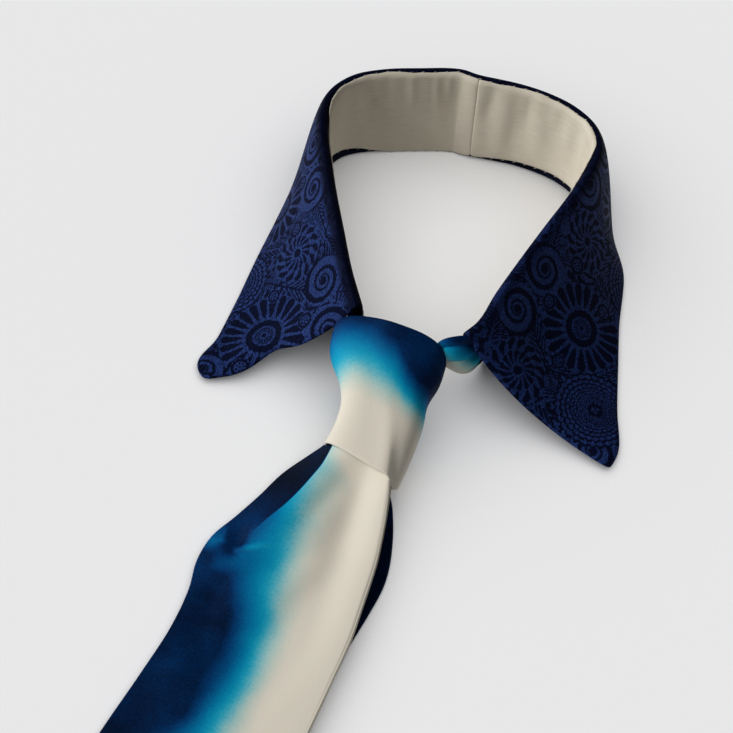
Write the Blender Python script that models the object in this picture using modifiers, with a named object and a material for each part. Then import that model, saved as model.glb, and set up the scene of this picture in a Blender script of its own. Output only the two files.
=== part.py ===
"""Detachable pointed collar with the silk tie that closes it, standing on a table.

The collar is one piece of jacquard folded over at its roll line: a stand inside, a fall outside
that spreads into two long points. Two ivory silk linings meet at the centre back of the stand.
A silk tie lies in the fold, and its knot closes the front. Its front blade lies on the table
with the narrow tail under it.

Tables are in millimetres, measured from the centre back of the roll line, with the front of the
collar towards -Y and the table at zero height. FOOTPRINT_X and FOOTPRINT_Y then put the origin
on the table under the middle of the whole part.
"""
import math

import bpy
import numpy as np

MM = 0.001

# The middle of the whole part's footprint, in the tables' own frame.
FOOTPRINT_X = -12.8
FOOTPRINT_Y = -306.3

# Cloth thicknesses and the gap that touching pieces keep.
JACQUARD_WALL = 1.4
LINING_WALL = 1.0
BAND_WALL = 2.4
KNOT_WALL = 2.2
BLADE_WALL = 3.2
TAIL_WALL = 2.4
SEAM_GAP = 0.3

# The roll: radius of the fold's centre line, and how far it runs level before it drops.
ROLL_RADIUS = 2.4
ROLL_RUN = 3.0
HEADING_STEP = 0.004
COLLAR_STATIONS = 51
STAND_POINTS = 5
ROLL_POINTS = 5
FALL_POINTS = 8
FALL_CROWDING = 1.35

# One row for each section of the collar, from the left front round the back to the right front.
# x, y, top: the roll's crest. lean: how far the foot of the stand lies inside the crest.
# foot: height of the stand's lower edge. climb: how far the lining reaches up past the start of
# the roll. edge_x, edge_y, edge_z: where the fall ends. out, drop: how far out, as a share of
# the reach, and how high the pull on the lower half of the fall lies. bow, ess: sideways swing
# of the section towards the front, once one way, and once both ways.
COLLAR = (
    # x, y, top, lean, foot, climb, edge_x, edge_y, edge_z, out, drop, bow, ess
    (-26.9, -144.0, 36.0, -0.5, 14.0, -5.0, -90.4, -172.6, 2.8, 0.36, 5.0, 1.0, 2.3),
    (-33.5, -128.4, 38.0, -0.8, 0.4, -5.0, -88.4, -150.0, 1.6, 0.40, 6.0, 0.4, 0.8),
    (-43.0, -106.4, 40.7, -1.0, 0.15, -5.0, -85.8, -125.0, 1.4, 0.45, 10.0, 0.0, 0.0),
    (-50.9, -87.4, 42.0, -1.4, 0.15, -4.5, -83.8, -101.0, 1.4, 0.50, 14.0, 0.0, 0.0),
    (-57.3, -70.8, 43.0, -2.2, 0.15, -3.0, -81.5, -80.0, 1.4, 0.55, 17.0, 0.0, 0.0),
    (-64.3, -50.3, 44.0, -3.0, 0.15, 0.5, -79.0, -55.0, 1.4, 0.62, 21.0, 0.0, 0.0),
    (-66.3, -37.5, 44.2, -2.4, 0.15, 3.0, -78.0, -36.0, 1.4, 0.66, 23.0, 0.0, 0.0),
    (-64.2, -25.6, 44.5, 0.6, 0.15, 4.0, -75.2, -17.5, 1.4, 0.70, 24.0, 0.0, 0.0),
    (-57.0, -15.8, 44.8, 3.0, 0.15, 4.0, -64.5, -4.0, 1.4, 0.70, 24.0, 0.0, 0.0),
    (-44.5, -10.0, 45.0, 4.2, 0.15, 4.0, -49.0, 3.5, 1.4, 0.70, 24.0, 0.0, 0.0),
    (-28.0, -5.6, 45.0, 4.8, 0.15, 4.0, -31.5, 9.0, 1.4, 0.70, 24.0, 0.0, 0.0),
    (-9.0, -1.2, 45.0, 5.0, 0.15, 4.0, -10.5, 13.5, 1.4, 0.70, 24.0, 0.0, 0.0),
    (0.0, -1.8, 45.0, 5.0, 0.15, 4.0, 1.0, 13.2, 1.4, 0.70, 24.0, 0.0, 0.0),
    (15.0, -3.6, 45.0, 5.0, 0.15, 4.0, 17.5, 11.0, 1.4, 0.70, 24.0, 0.0, 0.0),
    (32.0, -7.0, 45.0, 4.8, 0.15, 4.0, 37.0, 6.6, 1.4, 0.70, 24.0, 0.0, 0.0),
    (48.0, -13.6, 44.8, 4.4, 0.15, 4.0, 55.6, -2.2, 1.4, 0.70, 24.0, 0.0, 0.0),
    (58.4, -22.6, 44.5, 3.6, 0.15, 4.0, 67.0, -14.5, 1.4, 0.70, 24.0, 0.0, 0.0),
    (63.0, -34.0, 44.2, 2.4, 0.15, 4.0, 72.0, -32.0, 1.4, 0.66, 23.0, 0.0, 0.0),
    (61.9, -47.0, 44.0, 1.2, 0.15, 2.5, 76.4, -50.5, 1.4, 0.62, 20.0, 0.0, 0.0),
    (56.4, -65.9, 43.0, 0.4, 0.15, -1.5, 84.4, -71.5, 1.4, 0.55, 17.0, 0.0, 0.0),
    (49.3, -85.1, 42.0, 0.0, 0.15, -4.0, 86.6, -100.0, 1.4, 0.50, 14.0, 0.0, 0.0),
    (41.8, -105.8, 40.7, 0.0, 0.15, -4.0, 89.6, -125.0, 1.4, 0.45, 10.0, 0.0, 0.0),
    (34.7, -126.0, 38.8, 0.0, 0.15, -4.0, 92.6, -149.0, 1.4, 0.40, 6.5, 0.8, 0.0),
    (29.5, -143.6, 36.8, 0.0, 5.0, -4.0, 94.8, -170.0, 1.7, 0.37, 5.5, 2.4, 0.0),
    (27.2, -151.6, 36.0, 0.0, 19.0, -4.0, 94.9, -180.2, 2.4, 0.36, 5.0, 3.2, 0.0),
)
FOOT_LEAST = 0.15

# The lining: its margin above the stand's foot, and the soft creases that stand off the stand.
# at is the share of the whole round, width and height are real.
LINING_FOOT = 2.0
LINING_WALL_POINTS = 4
LINING_TOP_POINTS = 5
LINING_TOP_STRETCH = 5.0
LINING_CREASES = (
    # at, width, height
    (0.345, 7.0, 0.7),
    (0.395, 4.0, 0.9),
    (0.435, 5.0, 1.2),
    (0.468, 3.5, 1.0),
    (0.528, 4.0, 1.1),
    (0.562, 5.0, 0.8),
    (0.605, 6.0, 0.9),
    (0.650, 7.0, 0.6),
)
CREASE_FULLNESS = 0.6
LINING_MARGIN = 3.0
BACK_OF_NECK = -20.0

# The tie's neckband in the fold: its height, how far it stays below the crest, and the stretch
# at each front end over which it is pleated down to enter the knot.
BAND_HEIGHT = 30.0
BAND_BELOW_CREST = 3.4
BAND_PLEAT_RUN = 34.0
BAND_PLEATED_HEIGHT = 15.0
BAND_POINTS = 4
BAND_LEFT_END = (
    # x, y, bottom, top
    (-22.8, -156.8, 22.9, 30.8),
    (-23.8, -154.0, 22.4, 30.9),
    (-25.2, -150.8, 20.6, 31.1),
    (-26.6, -147.6, 18.6, 31.8),
)
BAND_RIGHT_END = (
    # x, y, bottom, top
    (26.7, -154.4, 18.5, 32.6),
    (24.6, -156.5, 20.0, 32.8),
    (21.2, -157.2, 22.0, 32.4),
    (17.3, -156.6, 23.6, 31.2),
    (13.6, -156.9, 24.2, 30.2),
    (10.8, -159.2, 24.2, 30.0),
)

# The knot's outer wrap, one row for each ring from the top mouth down to the lower one.
# turn: the ring's heading in degrees. tip_back: how far the ring's top lies behind its middle.
# shoulder: how much further back the top of its left end lies. ridge: where the crease runs,
# as a share of the half width, and how high it stands.
KNOT_RINGS = (
    # x, y, z, half_width, half_depth, turn, tip_back, shoulder, ridge_at, ridge_height
    (-7.8, -156.0, 27.0, 26.0, 12.0, -9.0, 4.2, 5.5, 0.10, 0.5),
    (-7.6, -166.0, 25.5, 24.9, 12.0, -6.0, 2.4, 3.0, 0.32, 0.6),
    (-5.7, -177.0, 22.8, 19.9, 11.0, -5.0, 0.6, 1.5, 0.40, 1.0),
    (-4.1, -186.5, 19.8, 18.4, 10.3, -6.0, 0.0, 0.0, 0.43, 1.1),
    (-5.0, -196.5, 16.0, 17.8, 9.6, -12.0, 0.0, 0.0, 0.55, 1.2),
    (-7.6, -206.5, 12.0, 18.0, 9.4, -22.0, -2.4, 0.0, 0.72, 1.2),
)
KNOT_STATIONS = 11
KNOT_SIDES = 28
KNOT_SIDE_SHARPNESS = 0.62
KNOT_FACE_SHARPNESS = 0.85
KNOT_RIDGE_SPREAD = 0.22
CORE_CLEARANCE = 1.1

# The silk that passes through the knot, one row for each ring: the share of the way down the
# wrap, and its half width and half depth as shares of the wrap's own.
CORE_RINGS = (
    # along, width_share, depth_share
    (0.08, 0.34, 0.30),
    (0.13, 0.52, 0.55),
    (0.24, 0.96, 0.96),
    (0.32, 1.0, 1.0),
    (0.42, 1.0, 1.0),
    (0.52, 1.0, 1.0),
    (0.60, 1.0, 1.0),
    (0.66, 0.90, 0.80),
)

# The front blade, one row for each section, from inside the knot to the foot of its point.
# The heights are those of the middle of the cloth at the left edge, at the crease, in the
# middle, on the crown and at the right edge. crease: share of the width from the left.
BLADE = (
    # left_x, left_y, right_x, right_y, crease, z_left, z_crease, z_middle, z_crown, z_right
    (-16.4, -193.0, 6.6, -201.0, 0.13, 14.4, 16.6, 19.2, 19.0, 14.6),
    (-19.4, -201.6, 5.2, -211.4, 0.15, 9.6, 12.8, 15.6, 15.0, 10.8),
    (-26.6, -204.4, 6.4, -217.5, 0.20, 6.2, 11.2, 13.6, 13.4, 9.6),
    (-33.2, -206.8, 7.0, -222.0, 0.26, 3.6, 10.4, 12.0, 12.0, 9.2),
    (-40.0, -214.7, 8.0, -231.0, 0.26, 2.6, 9.0, 10.2, 10.6, 8.6),
    (-47.1, -227.7, 8.7, -242.0, 0.23, 1.9, 7.4, 8.6, 9.6, 7.8),
    (-54.0, -239.5, 9.0, -252.0, 0.21, 1.6, 5.4, 7.4, 8.8, 7.0),
    (-61.2, -251.2, 8.6, -262.0, 0.20, 1.6, 2.6, 6.8, 8.2, 6.2),
    (-63.6, -262.7, 7.9, -273.0, 0.20, 1.6, 3.6, 6.2, 7.6, 5.4),
    (-63.0, -276.0, 7.0, -286.0, 0.20, 1.6, 3.0, 5.6, 7.0, 4.6),
    (-64.9, -293.6, 4.3, -304.0, 0.20, 1.6, 1.8, 5.0, 6.4, 4.5),
    (-70.3, -315.8, 0.5, -327.0, 0.20, 1.6, 2.4, 4.7, 5.8, 4.5),
    (-77.0, -340.0, -4.4, -355.0, 0.20, 1.6, 1.7, 4.6, 5.4, 4.5),
    (-92.8, -409.0, -15.0, -423.0, 0.20, 1.6, 1.6, 4.6, 5.0, 4.5),
    (-104.5, -467.0, -22.8, -478.0, 0.20, 1.6, 1.6, 4.6, 4.8, 4.4),
    (-109.5, -500.0, -26.6, -510.5, 0.20, 1.6, 1.6, 1.6, 1.6, 1.6),
    (-115.5, -540.0, -31.0, -550.0, 0.20, 1.6, 1.6, 1.6, 1.6, 1.6),
    (-120.7, -579.3, -35.3, -589.7, 0.20, 1.6, 1.6, 1.6, 1.6, 1.6),
)
BLADE_TIP = (-83.2, -628.0)
BLADE_STATIONS = 36
BLADE_COLUMNS = 17
BLADE_MIDDLE = 0.46
BLADE_CROWN = 0.70
POINT_STATIONS = 5
POINT_BLUNT = 0.03

# The tail under the blade, one row for each section. z: height of the middle of the cloth.
TAIL = (
    # left_x, left_y, right_x, right_y, z
    (-12.5, -198.0, 2.2, -203.0, 9.6),
    (-13.2, -205.8, 1.6, -211.3, 6.9),
    (-15.5, -213.0, 4.6, -218.6, 4.3),
    (-19.0, -222.5, 9.8, -226.5, 1.9),
    (-21.8, -234.0, 11.8, -235.0, 1.2),
    (-22.4, -246.0, 13.3, -246.5, 1.2),
    (-22.6, -258.0, 13.0, -257.0, 1.2),
    (-25.0, -271.0, 10.4, -269.0, 1.2),
    (-28.5, -287.0, 6.2, -284.5, 1.2),
    (-33.5, -309.0, 1.2, -305.0, 1.2),
    (-42.0, -350.0, -7.6, -346.0, 1.2),
    (-56.5, -414.0, -22.0, -410.0, 1.2),
    (-65.5, -452.0, -31.0, -448.0, 1.2),
)
TAIL_TIP = (-51.5, -470.0)
TAIL_STATIONS = 24
TAIL_COLUMNS = 6


def even_spline(rows, at=None, stations=None):
    """Read a table along a smooth line through its rows, by the length of the first two columns."""
    table = np.array(rows, dtype=float)
    steps = np.linalg.norm(np.diff(table[:, :2], axis=0), axis=1)
    length = np.concatenate(([0.0], np.cumsum(steps)))
    slopes = np.gradient(table, length, axis=0)
    if at is None:
        at = np.linspace(0.0, 1.0, stations)
    where = np.asarray(at) * length[-1]
    row = np.clip(np.searchsorted(length, where, side="right") - 1, 0, len(table) - 2)
    span = steps[row][:, None]
    t = ((where - length[row]) / steps[row])[:, None]
    start = (2 * t**3 - 3 * t**2 + 1) * table[row] + (t**3 - 2 * t**2 + t) * span * slopes[row]
    end = (3 * t**2 - 2 * t**3) * table[row + 1] + (t**3 - t**2) * span * slopes[row + 1]
    return start + end


def smooth_step(value):
    """Ease from 0 to 1 as value goes from 0 to 1."""
    value = np.clip(value, 0.0, 1.0)
    return value * value * (3.0 - 2.0 * value)


def placed(points):
    """Turn table points in millimetres into metres round the part's own origin."""
    shifted = np.array(points, dtype=float) - (FOOTPRINT_X, FOOTPRINT_Y, 0.0)
    return shifted * MM


def grid_faces(rows, columns, closed=False):
    """Quads between neighbouring rows of points; closed joins the last column to the first."""
    faces = []
    for i in range(rows - 1):
        for j in range(columns if closed else columns - 1):
            k = (j + 1) % columns
            here, beyond = i * columns, (i + 1) * columns
            faces.append((here + j, here + k, beyond + k, beyond + j))
    return faces


def cloth_material(name, colour, roughness):
    """A plain cloth surface of one colour."""
    material = bpy.data.materials.new(name)
    material.use_nodes = True
    shader = material.node_tree.nodes["Principled BSDF"]
    shader.inputs["Base Color"].default_value = (*colour, 1.0)
    shader.inputs["Roughness"].default_value = roughness
    shader.inputs["Metallic"].default_value = 0.0
    return material


def add_mesh(name, points, faces, material):
    """Put a mesh made of placed points into the part's collection."""
    mesh = bpy.data.meshes.new(name)
    mesh.from_pydata([tuple(point) for point in placed(points).reshape(-1, 3)], [], faces)
    mesh.validate()
    mesh.shade_smooth()
    mesh.materials.append(material)
    piece = bpy.data.objects.new(name, mesh)
    collection.objects.link(piece)
    piece.parent = base
    return piece


def add_cloth(name, points, wall, material, offset=0.0, closed=False):
    """A wall of cloth on a grid of points."""
    rows, columns = points.shape[:2]
    piece = add_mesh(name, points, grid_faces(rows, columns, closed), material)
    solidify = piece.modifiers.new("wall", "SOLIDIFY")
    solidify.thickness = wall * MM
    solidify.offset = offset
    solidify.use_even_offset = True
    return piece


class CollarLine:
    """The collar's sections read at even steps round the neck."""

    def __init__(self, at):
        table = even_spline(COLLAR, at=at)
        self.crest = table[:, :2]
        self.top, self.lean, self.foot, self.climb = table[:, 2:6].T
        self.foot = np.maximum(self.foot, FOOT_LEAST)
        self.edge = table[:, 6:9]
        self.out, self.drop, self.bow, self.ess = table[:, 9:].T
        near = np.clip(np.array([at - HEADING_STEP, at + HEADING_STEP]), 0.0, 1.0)
        before, after = (even_spline(COLLAR, at=row)[:, :2] for row in near)
        travel = after - before
        travel /= np.linalg.norm(travel, axis=1)[:, None]
        self.outward = np.stack([-travel[:, 1], travel[:, 0]], axis=1)
        self.round_length = np.sum(np.linalg.norm(np.diff(self.crest, axis=0), axis=1))

    def wall_top(self, i, inset):
        """Height at which section i of the stand, inset towards the neck, starts to roll over."""
        height = self.top[i] - ROLL_RADIUS
        return height + (ROLL_RADIUS + inset) * math.sin(math.atan2(self.lean[i], height))

    def stand(self, i, inset, girth):
        """Points at lengths girth up the stand of section i and over its roll."""
        height = self.top[i] - ROLL_RADIUS
        tilt = math.atan2(self.lean[i], height)
        radius = ROLL_RADIUS + inset
        turn = math.pi - tilt - np.maximum(girth - self.wall_top(i, inset), 0.0) / radius
        z = np.where(turn < math.pi - tilt, height + radius * np.sin(turn), girth)
        below = np.maximum(1.0 - z / height, 0.0)
        reach = np.where(turn < math.pi - tilt, radius * np.cos(turn), -radius * math.cos(tilt))
        reach = reach - self.lean[i] * below
        plan = self.crest[i] + self.outward[i] * reach[:, None]
        return np.column_stack((plan, z))

    def fall(self, i, points):
        """Points down the fall of section i, from just past the roll's crest to the edge."""
        t = np.linspace(0.0, 1.0, points + 1)[1:] ** FALL_CROWDING
        span = self.edge[i, :2] - self.crest[i]
        forward = np.array((span[1], -span[0])) / np.linalg.norm(span)
        if forward[1] > 0.0:
            forward = -forward
        swing = self.bow[i] * np.sin(math.pi * t) - self.ess[i] * np.sin(2 * math.pi * t)
        weights = np.column_stack(((1 - t) ** 3, 3 * t * (1 - t) ** 2, 3 * t**2 * (1 - t), t**3))
        pulls = np.array((
            (*self.crest[i], self.top[i]),
            (*(self.crest[i] + self.outward[i] * ROLL_RUN), self.top[i]),
            (*(self.crest[i] + span * self.out[i]), self.drop[i]),
            self.edge[i],
        ))
        points_down = weights @ pulls
        points_down[:, :2] += forward * swing[:, None]
        return points_down


def build_shell():
    """The jacquard, from the foot of the stand over the roll to the edge of the fall."""
    at = np.linspace(0.0, 1.0, COLLAR_STATIONS)
    line = CollarLine(at)
    sections = []
    for i in range(COLLAR_STATIONS):
        wall = line.wall_top(i, 0.0)
        quarter = ROLL_RADIUS * (math.pi / 2 - math.atan2(line.lean[i], line.top[i]))
        up = np.linspace(line.foot[i], wall, STAND_POINTS + 1)[:-1]
        over = wall + np.linspace(0.0, quarter, ROLL_POINTS + 1)
        inner = line.stand(i, 0.0, np.concatenate((up, over)))
        sections.append(np.vstack((inner, line.fall(i, FALL_POINTS))))
    material = cloth_material("navy_jacquard", (0.012, 0.022, 0.085), 0.55)
    add_cloth("collar_shell", np.array(sections), JACQUARD_WALL, material)


def build_lining(name, start, end):
    """One half of the ivory lining, a facet of it on each facet of the stand's inner face."""
    shell_stations = np.linspace(0.0, 1.0, COLLAR_STATIONS)
    creases = np.array([crease[0] for crease in LINING_CREASES])
    inside = np.concatenate((shell_stations, creases))
    at = np.unique(np.concatenate(([start, end], inside[(inside > start) & (inside < end)])))
    line = CollarLine(shell_stations)
    clearance = JACQUARD_WALL / 2 + SEAM_GAP + LINING_WALL / 2
    sections = []
    for i in range(COLLAR_STATIONS):
        low = line.foot[i] + LINING_FOOT
        high = line.wall_top(i, clearance) + line.climb[i]
        wall = np.linspace(low, high - LINING_TOP_STRETCH, LINING_WALL_POINTS + 1)[:-1]
        top = np.linspace(high - LINING_TOP_STRETCH, high, LINING_TOP_POINTS)
        sections.append(line.stand(i, clearance, np.concatenate((wall, top))))
    sections = np.array(sections)
    lining = []
    for place in at:
        before = min(int(place * (COLLAR_STATIONS - 1)), COLLAR_STATIONS - 2)
        share = place * (COLLAR_STATIONS - 1) - before
        section = sections[before] * (1.0 - share) + sections[before + 1] * share
        outward = line.outward[before] * (1.0 - share) + line.outward[before + 1] * share
        swell = sum(
            height * math.exp(-(((place - centre) * line.round_length / width) ** 2))
            for centre, width, height in LINING_CREASES
        )
        level = np.linspace(0.0, 1.0, len(section))
        section[:, :2] -= outward * (swell * np.sin(math.pi * level) ** CREASE_FULLNESS)[:, None]
        lining.append(section)
    material = bpy.data.materials.get("ivory_silk")
    if material is None:
        material = cloth_material("ivory_silk", (0.52, 0.48, 0.40), 0.45)
    add_cloth(name, np.array(lining), LINING_WALL, material)


def build_linings():
    """Two halves, parted by the centre back seam."""
    stations = np.linspace(0.0, 1.0, COLLAR_STATIONS)
    line = CollarLine(stations)
    behind = line.crest[:, 1] > BACK_OF_NECK
    back = np.interp(0.0, line.crest[behind, 0], stations[behind])
    half_gap = SEAM_GAP / line.round_length
    margin = LINING_MARGIN / line.round_length
    build_lining("lining_left", margin, back - half_gap)
    build_lining("lining_right", back + half_gap, 1.0 - margin)


def upright(x, y, bottom, top):
    """Points up the neckband where it stands at one place."""
    plan = np.tile((x, y), (BAND_POINTS, 1))
    return np.column_stack((plan, np.linspace(bottom, top, BAND_POINTS)))


def build_neckband():
    """The tie's narrow middle, upright in the fold, pleated into the knot at both ends."""
    at = np.linspace(0.0, 1.0, COLLAR_STATIONS)
    line = CollarLine(at)
    run = np.concatenate(([0.0], np.cumsum(np.linalg.norm(np.diff(line.crest, axis=0), axis=1))))
    from_end = np.minimum(run, run[-1] - run)
    columns = [upright(*row) for row in BAND_LEFT_END]
    for i in range(COLLAR_STATIONS):
        top = line.top[i] - BAND_BELOW_CREST
        open_share = smooth_step(from_end[i] / BAND_PLEAT_RUN)
        height = BAND_PLEATED_HEIGHT + (BAND_HEIGHT - BAND_PLEATED_HEIGHT) * open_share
        z = np.linspace(top - height, top, BAND_POINTS)
        inward = line.lean[i] * (1.0 - z / (line.top[i] - ROLL_RADIUS))
        plan = line.crest[i] - line.outward[i] * inward[:, None]
        columns.append(np.column_stack((plan, z)))
    columns += [upright(*row) for row in BAND_RIGHT_END]
    material = cloth_material("dyed_silk_band", (0.03, 0.16, 0.25), 0.4)
    add_cloth("tie_neckband", np.array(columns), BAND_WALL, material)


def knot_ring(row, width_share=1.0, depth_share=1.0, inset=0.0):
    """Points round one ring of the knot."""
    x, y, z, half_width, half_depth, turn, tip_back, shoulder, ridge_at, ridge_height = row
    angle = np.linspace(0.0, 2 * math.pi, KNOT_SIDES, endpoint=False)
    across = np.sign(np.cos(angle)) * np.abs(np.cos(angle)) ** KNOT_SIDE_SHARPNESS
    up = np.sign(np.sin(angle)) * np.abs(np.sin(angle)) ** KNOT_FACE_SHARPNESS
    top = np.maximum(up, 0.0)
    ridge = ridge_height * top * np.exp(-(((across - ridge_at) / KNOT_RIDGE_SPREAD) ** 2))
    side = (half_width - inset) * width_share * across
    rise = (half_depth - inset) * depth_share * up + ridge
    back = tip_back * up + shoulder * top * np.maximum(-across, 0.0)
    heading = math.radians(turn)
    plan_x = x + side * math.cos(heading)
    plan_y = y + side * math.sin(heading) + back
    return np.column_stack((plan_x, plan_y, z + rise))


def build_knot():
    """The wrap of the knot, open at both ends, and the silk that fills it."""
    shares = np.linspace(0.0, 1.0, KNOT_STATIONS)
    rows = even_spline(KNOT_RINGS, at=shares)
    wrap = np.array([knot_ring(row) for row in rows])
    material = cloth_material("dyed_silk_knot", (0.30, 0.38, 0.38), 0.4)
    add_cloth("tie_knot", wrap, KNOT_WALL, material, offset=-1.0, closed=True)

    inner = []
    for along, width_share, depth_share in CORE_RINGS:
        row = even_spline(KNOT_RINGS, at=[along])[0]
        inner.append(knot_ring(row, width_share, depth_share, KNOT_WALL + CORE_CLEARANCE))
    inner = np.array(inner)
    faces = grid_faces(len(CORE_RINGS), KNOT_SIDES, closed=True)
    last = (len(CORE_RINGS) - 1) * KNOT_SIDES
    faces.append(tuple(range(KNOT_SIDES))[::-1])
    faces.append(tuple(range(last, last + KNOT_SIDES)))
    add_mesh("knot_core", inner, faces, cloth_material("dyed_silk_core", (0.01, 0.03, 0.10), 0.4))


def pointed(left, right, tip, stations):
    """Left and right edge points of the straight-sided point that ends a strip of cloth."""
    share = np.linspace(0.0, 1.0, stations + 1)[1:]
    share[-1] = 1.0 - POINT_BLUNT
    tip = np.array(tip)
    return left + (tip - left) * share[:, None], right + (tip - right) * share[:, None]


def blade_heights(row, across):
    """Height of the middle of the blade's cloth at each share of its width."""
    crease, z_left, z_crease, z_middle, z_crown, z_right = row[4:]
    places = np.array((0.0, crease, BLADE_MIDDLE, BLADE_CROWN, 1.0))
    heights = np.array((z_left, z_crease, z_middle, z_crown, z_right))
    slopes = np.gradient(heights, places)
    knot = np.clip(np.searchsorted(places, across, side="right") - 1, 0, 3)
    span = places[knot + 1] - places[knot]
    t = (across - places[knot]) / span
    start = (2 * t**3 - 3 * t**2 + 1) * heights[knot] + (t**3 - 2 * t**2 + t) * span * slopes[knot]
    end = (3 * t**2 - 2 * t**3) * heights[knot + 1] + (t**3 - t**2) * span * slopes[knot + 1]
    return start + end


def build_blade():
    """The wide front blade, pleated in the knot and open on the table."""
    rows = even_spline(BLADE, stations=BLADE_STATIONS)
    across = np.linspace(0.0, 1.0, BLADE_COLUMNS)
    sections = []
    for row in rows:
        plan = row[0:2] + (row[2:4] - row[0:2]) * across[:, None]
        heights = np.maximum(blade_heights(row, across), BLADE_WALL / 2)
        sections.append(np.column_stack((plan, heights)))
    left, right = pointed(rows[-1, 0:2], rows[-1, 2:4], BLADE_TIP, POINT_STATIONS)
    for start, end in zip(left, right):
        plan = start + (end - start) * across[:, None]
        sections.append(np.column_stack((plan, np.full(BLADE_COLUMNS, BLADE_WALL / 2))))
    material = cloth_material("dyed_silk_blade", (0.10, 0.26, 0.33), 0.4)
    add_cloth("tie_blade", np.array(sections), BLADE_WALL, material)


def build_tail():
    """The narrow tail, flat on the table under the blade."""
    rows = even_spline(TAIL, stations=TAIL_STATIONS)
    across = np.linspace(0.0, 1.0, TAIL_COLUMNS)
    sections = []
    for row in rows:
        plan = row[0:2] + (row[2:4] - row[0:2]) * across[:, None]
        height = max(row[4], TAIL_WALL / 2)
        sections.append(np.column_stack((plan, np.full(TAIL_COLUMNS, height))))
    left, right = pointed(rows[-1, 0:2], rows[-1, 2:4], TAIL_TIP, 3)
    for start, end in zip(left, right):
        plan = start + (end - start) * across[:, None]
        sections.append(np.column_stack((plan, np.full(TAIL_COLUMNS, TAIL_WALL / 2))))
    material = cloth_material("dyed_silk_tail", (0.01, 0.02, 0.06), 0.4)
    add_cloth("tie_tail", np.array(sections), TAIL_WALL, material)


for old in list(bpy.data.objects):
    bpy.data.objects.remove(old, do_unlink=True)
collection = bpy.data.collections.new("detachable_collar")
bpy.context.scene.collection.children.link(collection)
base = bpy.data.objects.new("table_point", None)
collection.objects.link(base)

build_shell()
build_linings()
build_neckband()
build_knot()
build_blade()
build_tail()
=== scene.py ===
"""The looks of a detachable collar: figured jacquard lined with silk, closed by a dip-dyed silk tie.

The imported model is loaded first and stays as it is. Each section makes one piece of the real thing
in the place of its own solid, in the order in which they are put together: collar, linings,
neckband, knot, blade and tail. Tables and lengths are in millimetres from the centre back of the
roll line, with the collar's front towards -Y and the table at zero height, and placed() brings
them to the model's own origin in metres.
"""
import math

import bpy
import numpy as np
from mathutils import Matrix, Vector


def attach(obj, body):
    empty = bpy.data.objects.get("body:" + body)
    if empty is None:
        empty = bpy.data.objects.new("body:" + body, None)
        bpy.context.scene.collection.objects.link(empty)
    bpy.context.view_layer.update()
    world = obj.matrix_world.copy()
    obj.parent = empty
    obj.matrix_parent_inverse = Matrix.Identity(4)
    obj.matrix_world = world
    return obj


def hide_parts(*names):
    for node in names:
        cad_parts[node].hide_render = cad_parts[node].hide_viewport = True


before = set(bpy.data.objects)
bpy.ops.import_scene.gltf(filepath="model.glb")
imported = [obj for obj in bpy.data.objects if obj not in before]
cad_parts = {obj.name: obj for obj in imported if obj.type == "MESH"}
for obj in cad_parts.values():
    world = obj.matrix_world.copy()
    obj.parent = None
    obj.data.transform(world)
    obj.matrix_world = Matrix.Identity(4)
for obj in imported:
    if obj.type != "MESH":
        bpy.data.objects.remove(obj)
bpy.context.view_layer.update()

# The collar. One turned piece of figured jacquard over canvas, about 1.3 mm thick in all, folded
# at the roll line: the stand faces the neck, the fall lies outside it and spreads into two points.
MM = 0.001
FOOTPRINT_X = -12.8
FOOTPRINT_Y = -306.3
JACQUARD_WALL = 1.3
ROLL_RADIUS = 2.4
ROLL_RUN = 3.0
# Painted shade on the jacquard along the roll and up the inside of the stand: how far down the fall it
# reaches from the crest, how sharply it ends, and how strong it is round the collar.
CREST_SHADE_REACH = 3.8
CREST_SHARPNESS = 4
CREST_SHADE_STRENGTH = (
    # share of the round, strength of the painted shade on the roll
    (0.0, 1.0), (0.72, 1.0), (0.82, 0.4), (1.0, 0.4),
)
HEADING_STEP = 0.004
COLLAR_SECTIONS = 141
STAND_POINTS = 10
STAND_FOOT = 0.3
ROLL_POINTS = 6
FALL_POINTS = 32
FALL_CROWDING = 1.35

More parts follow.
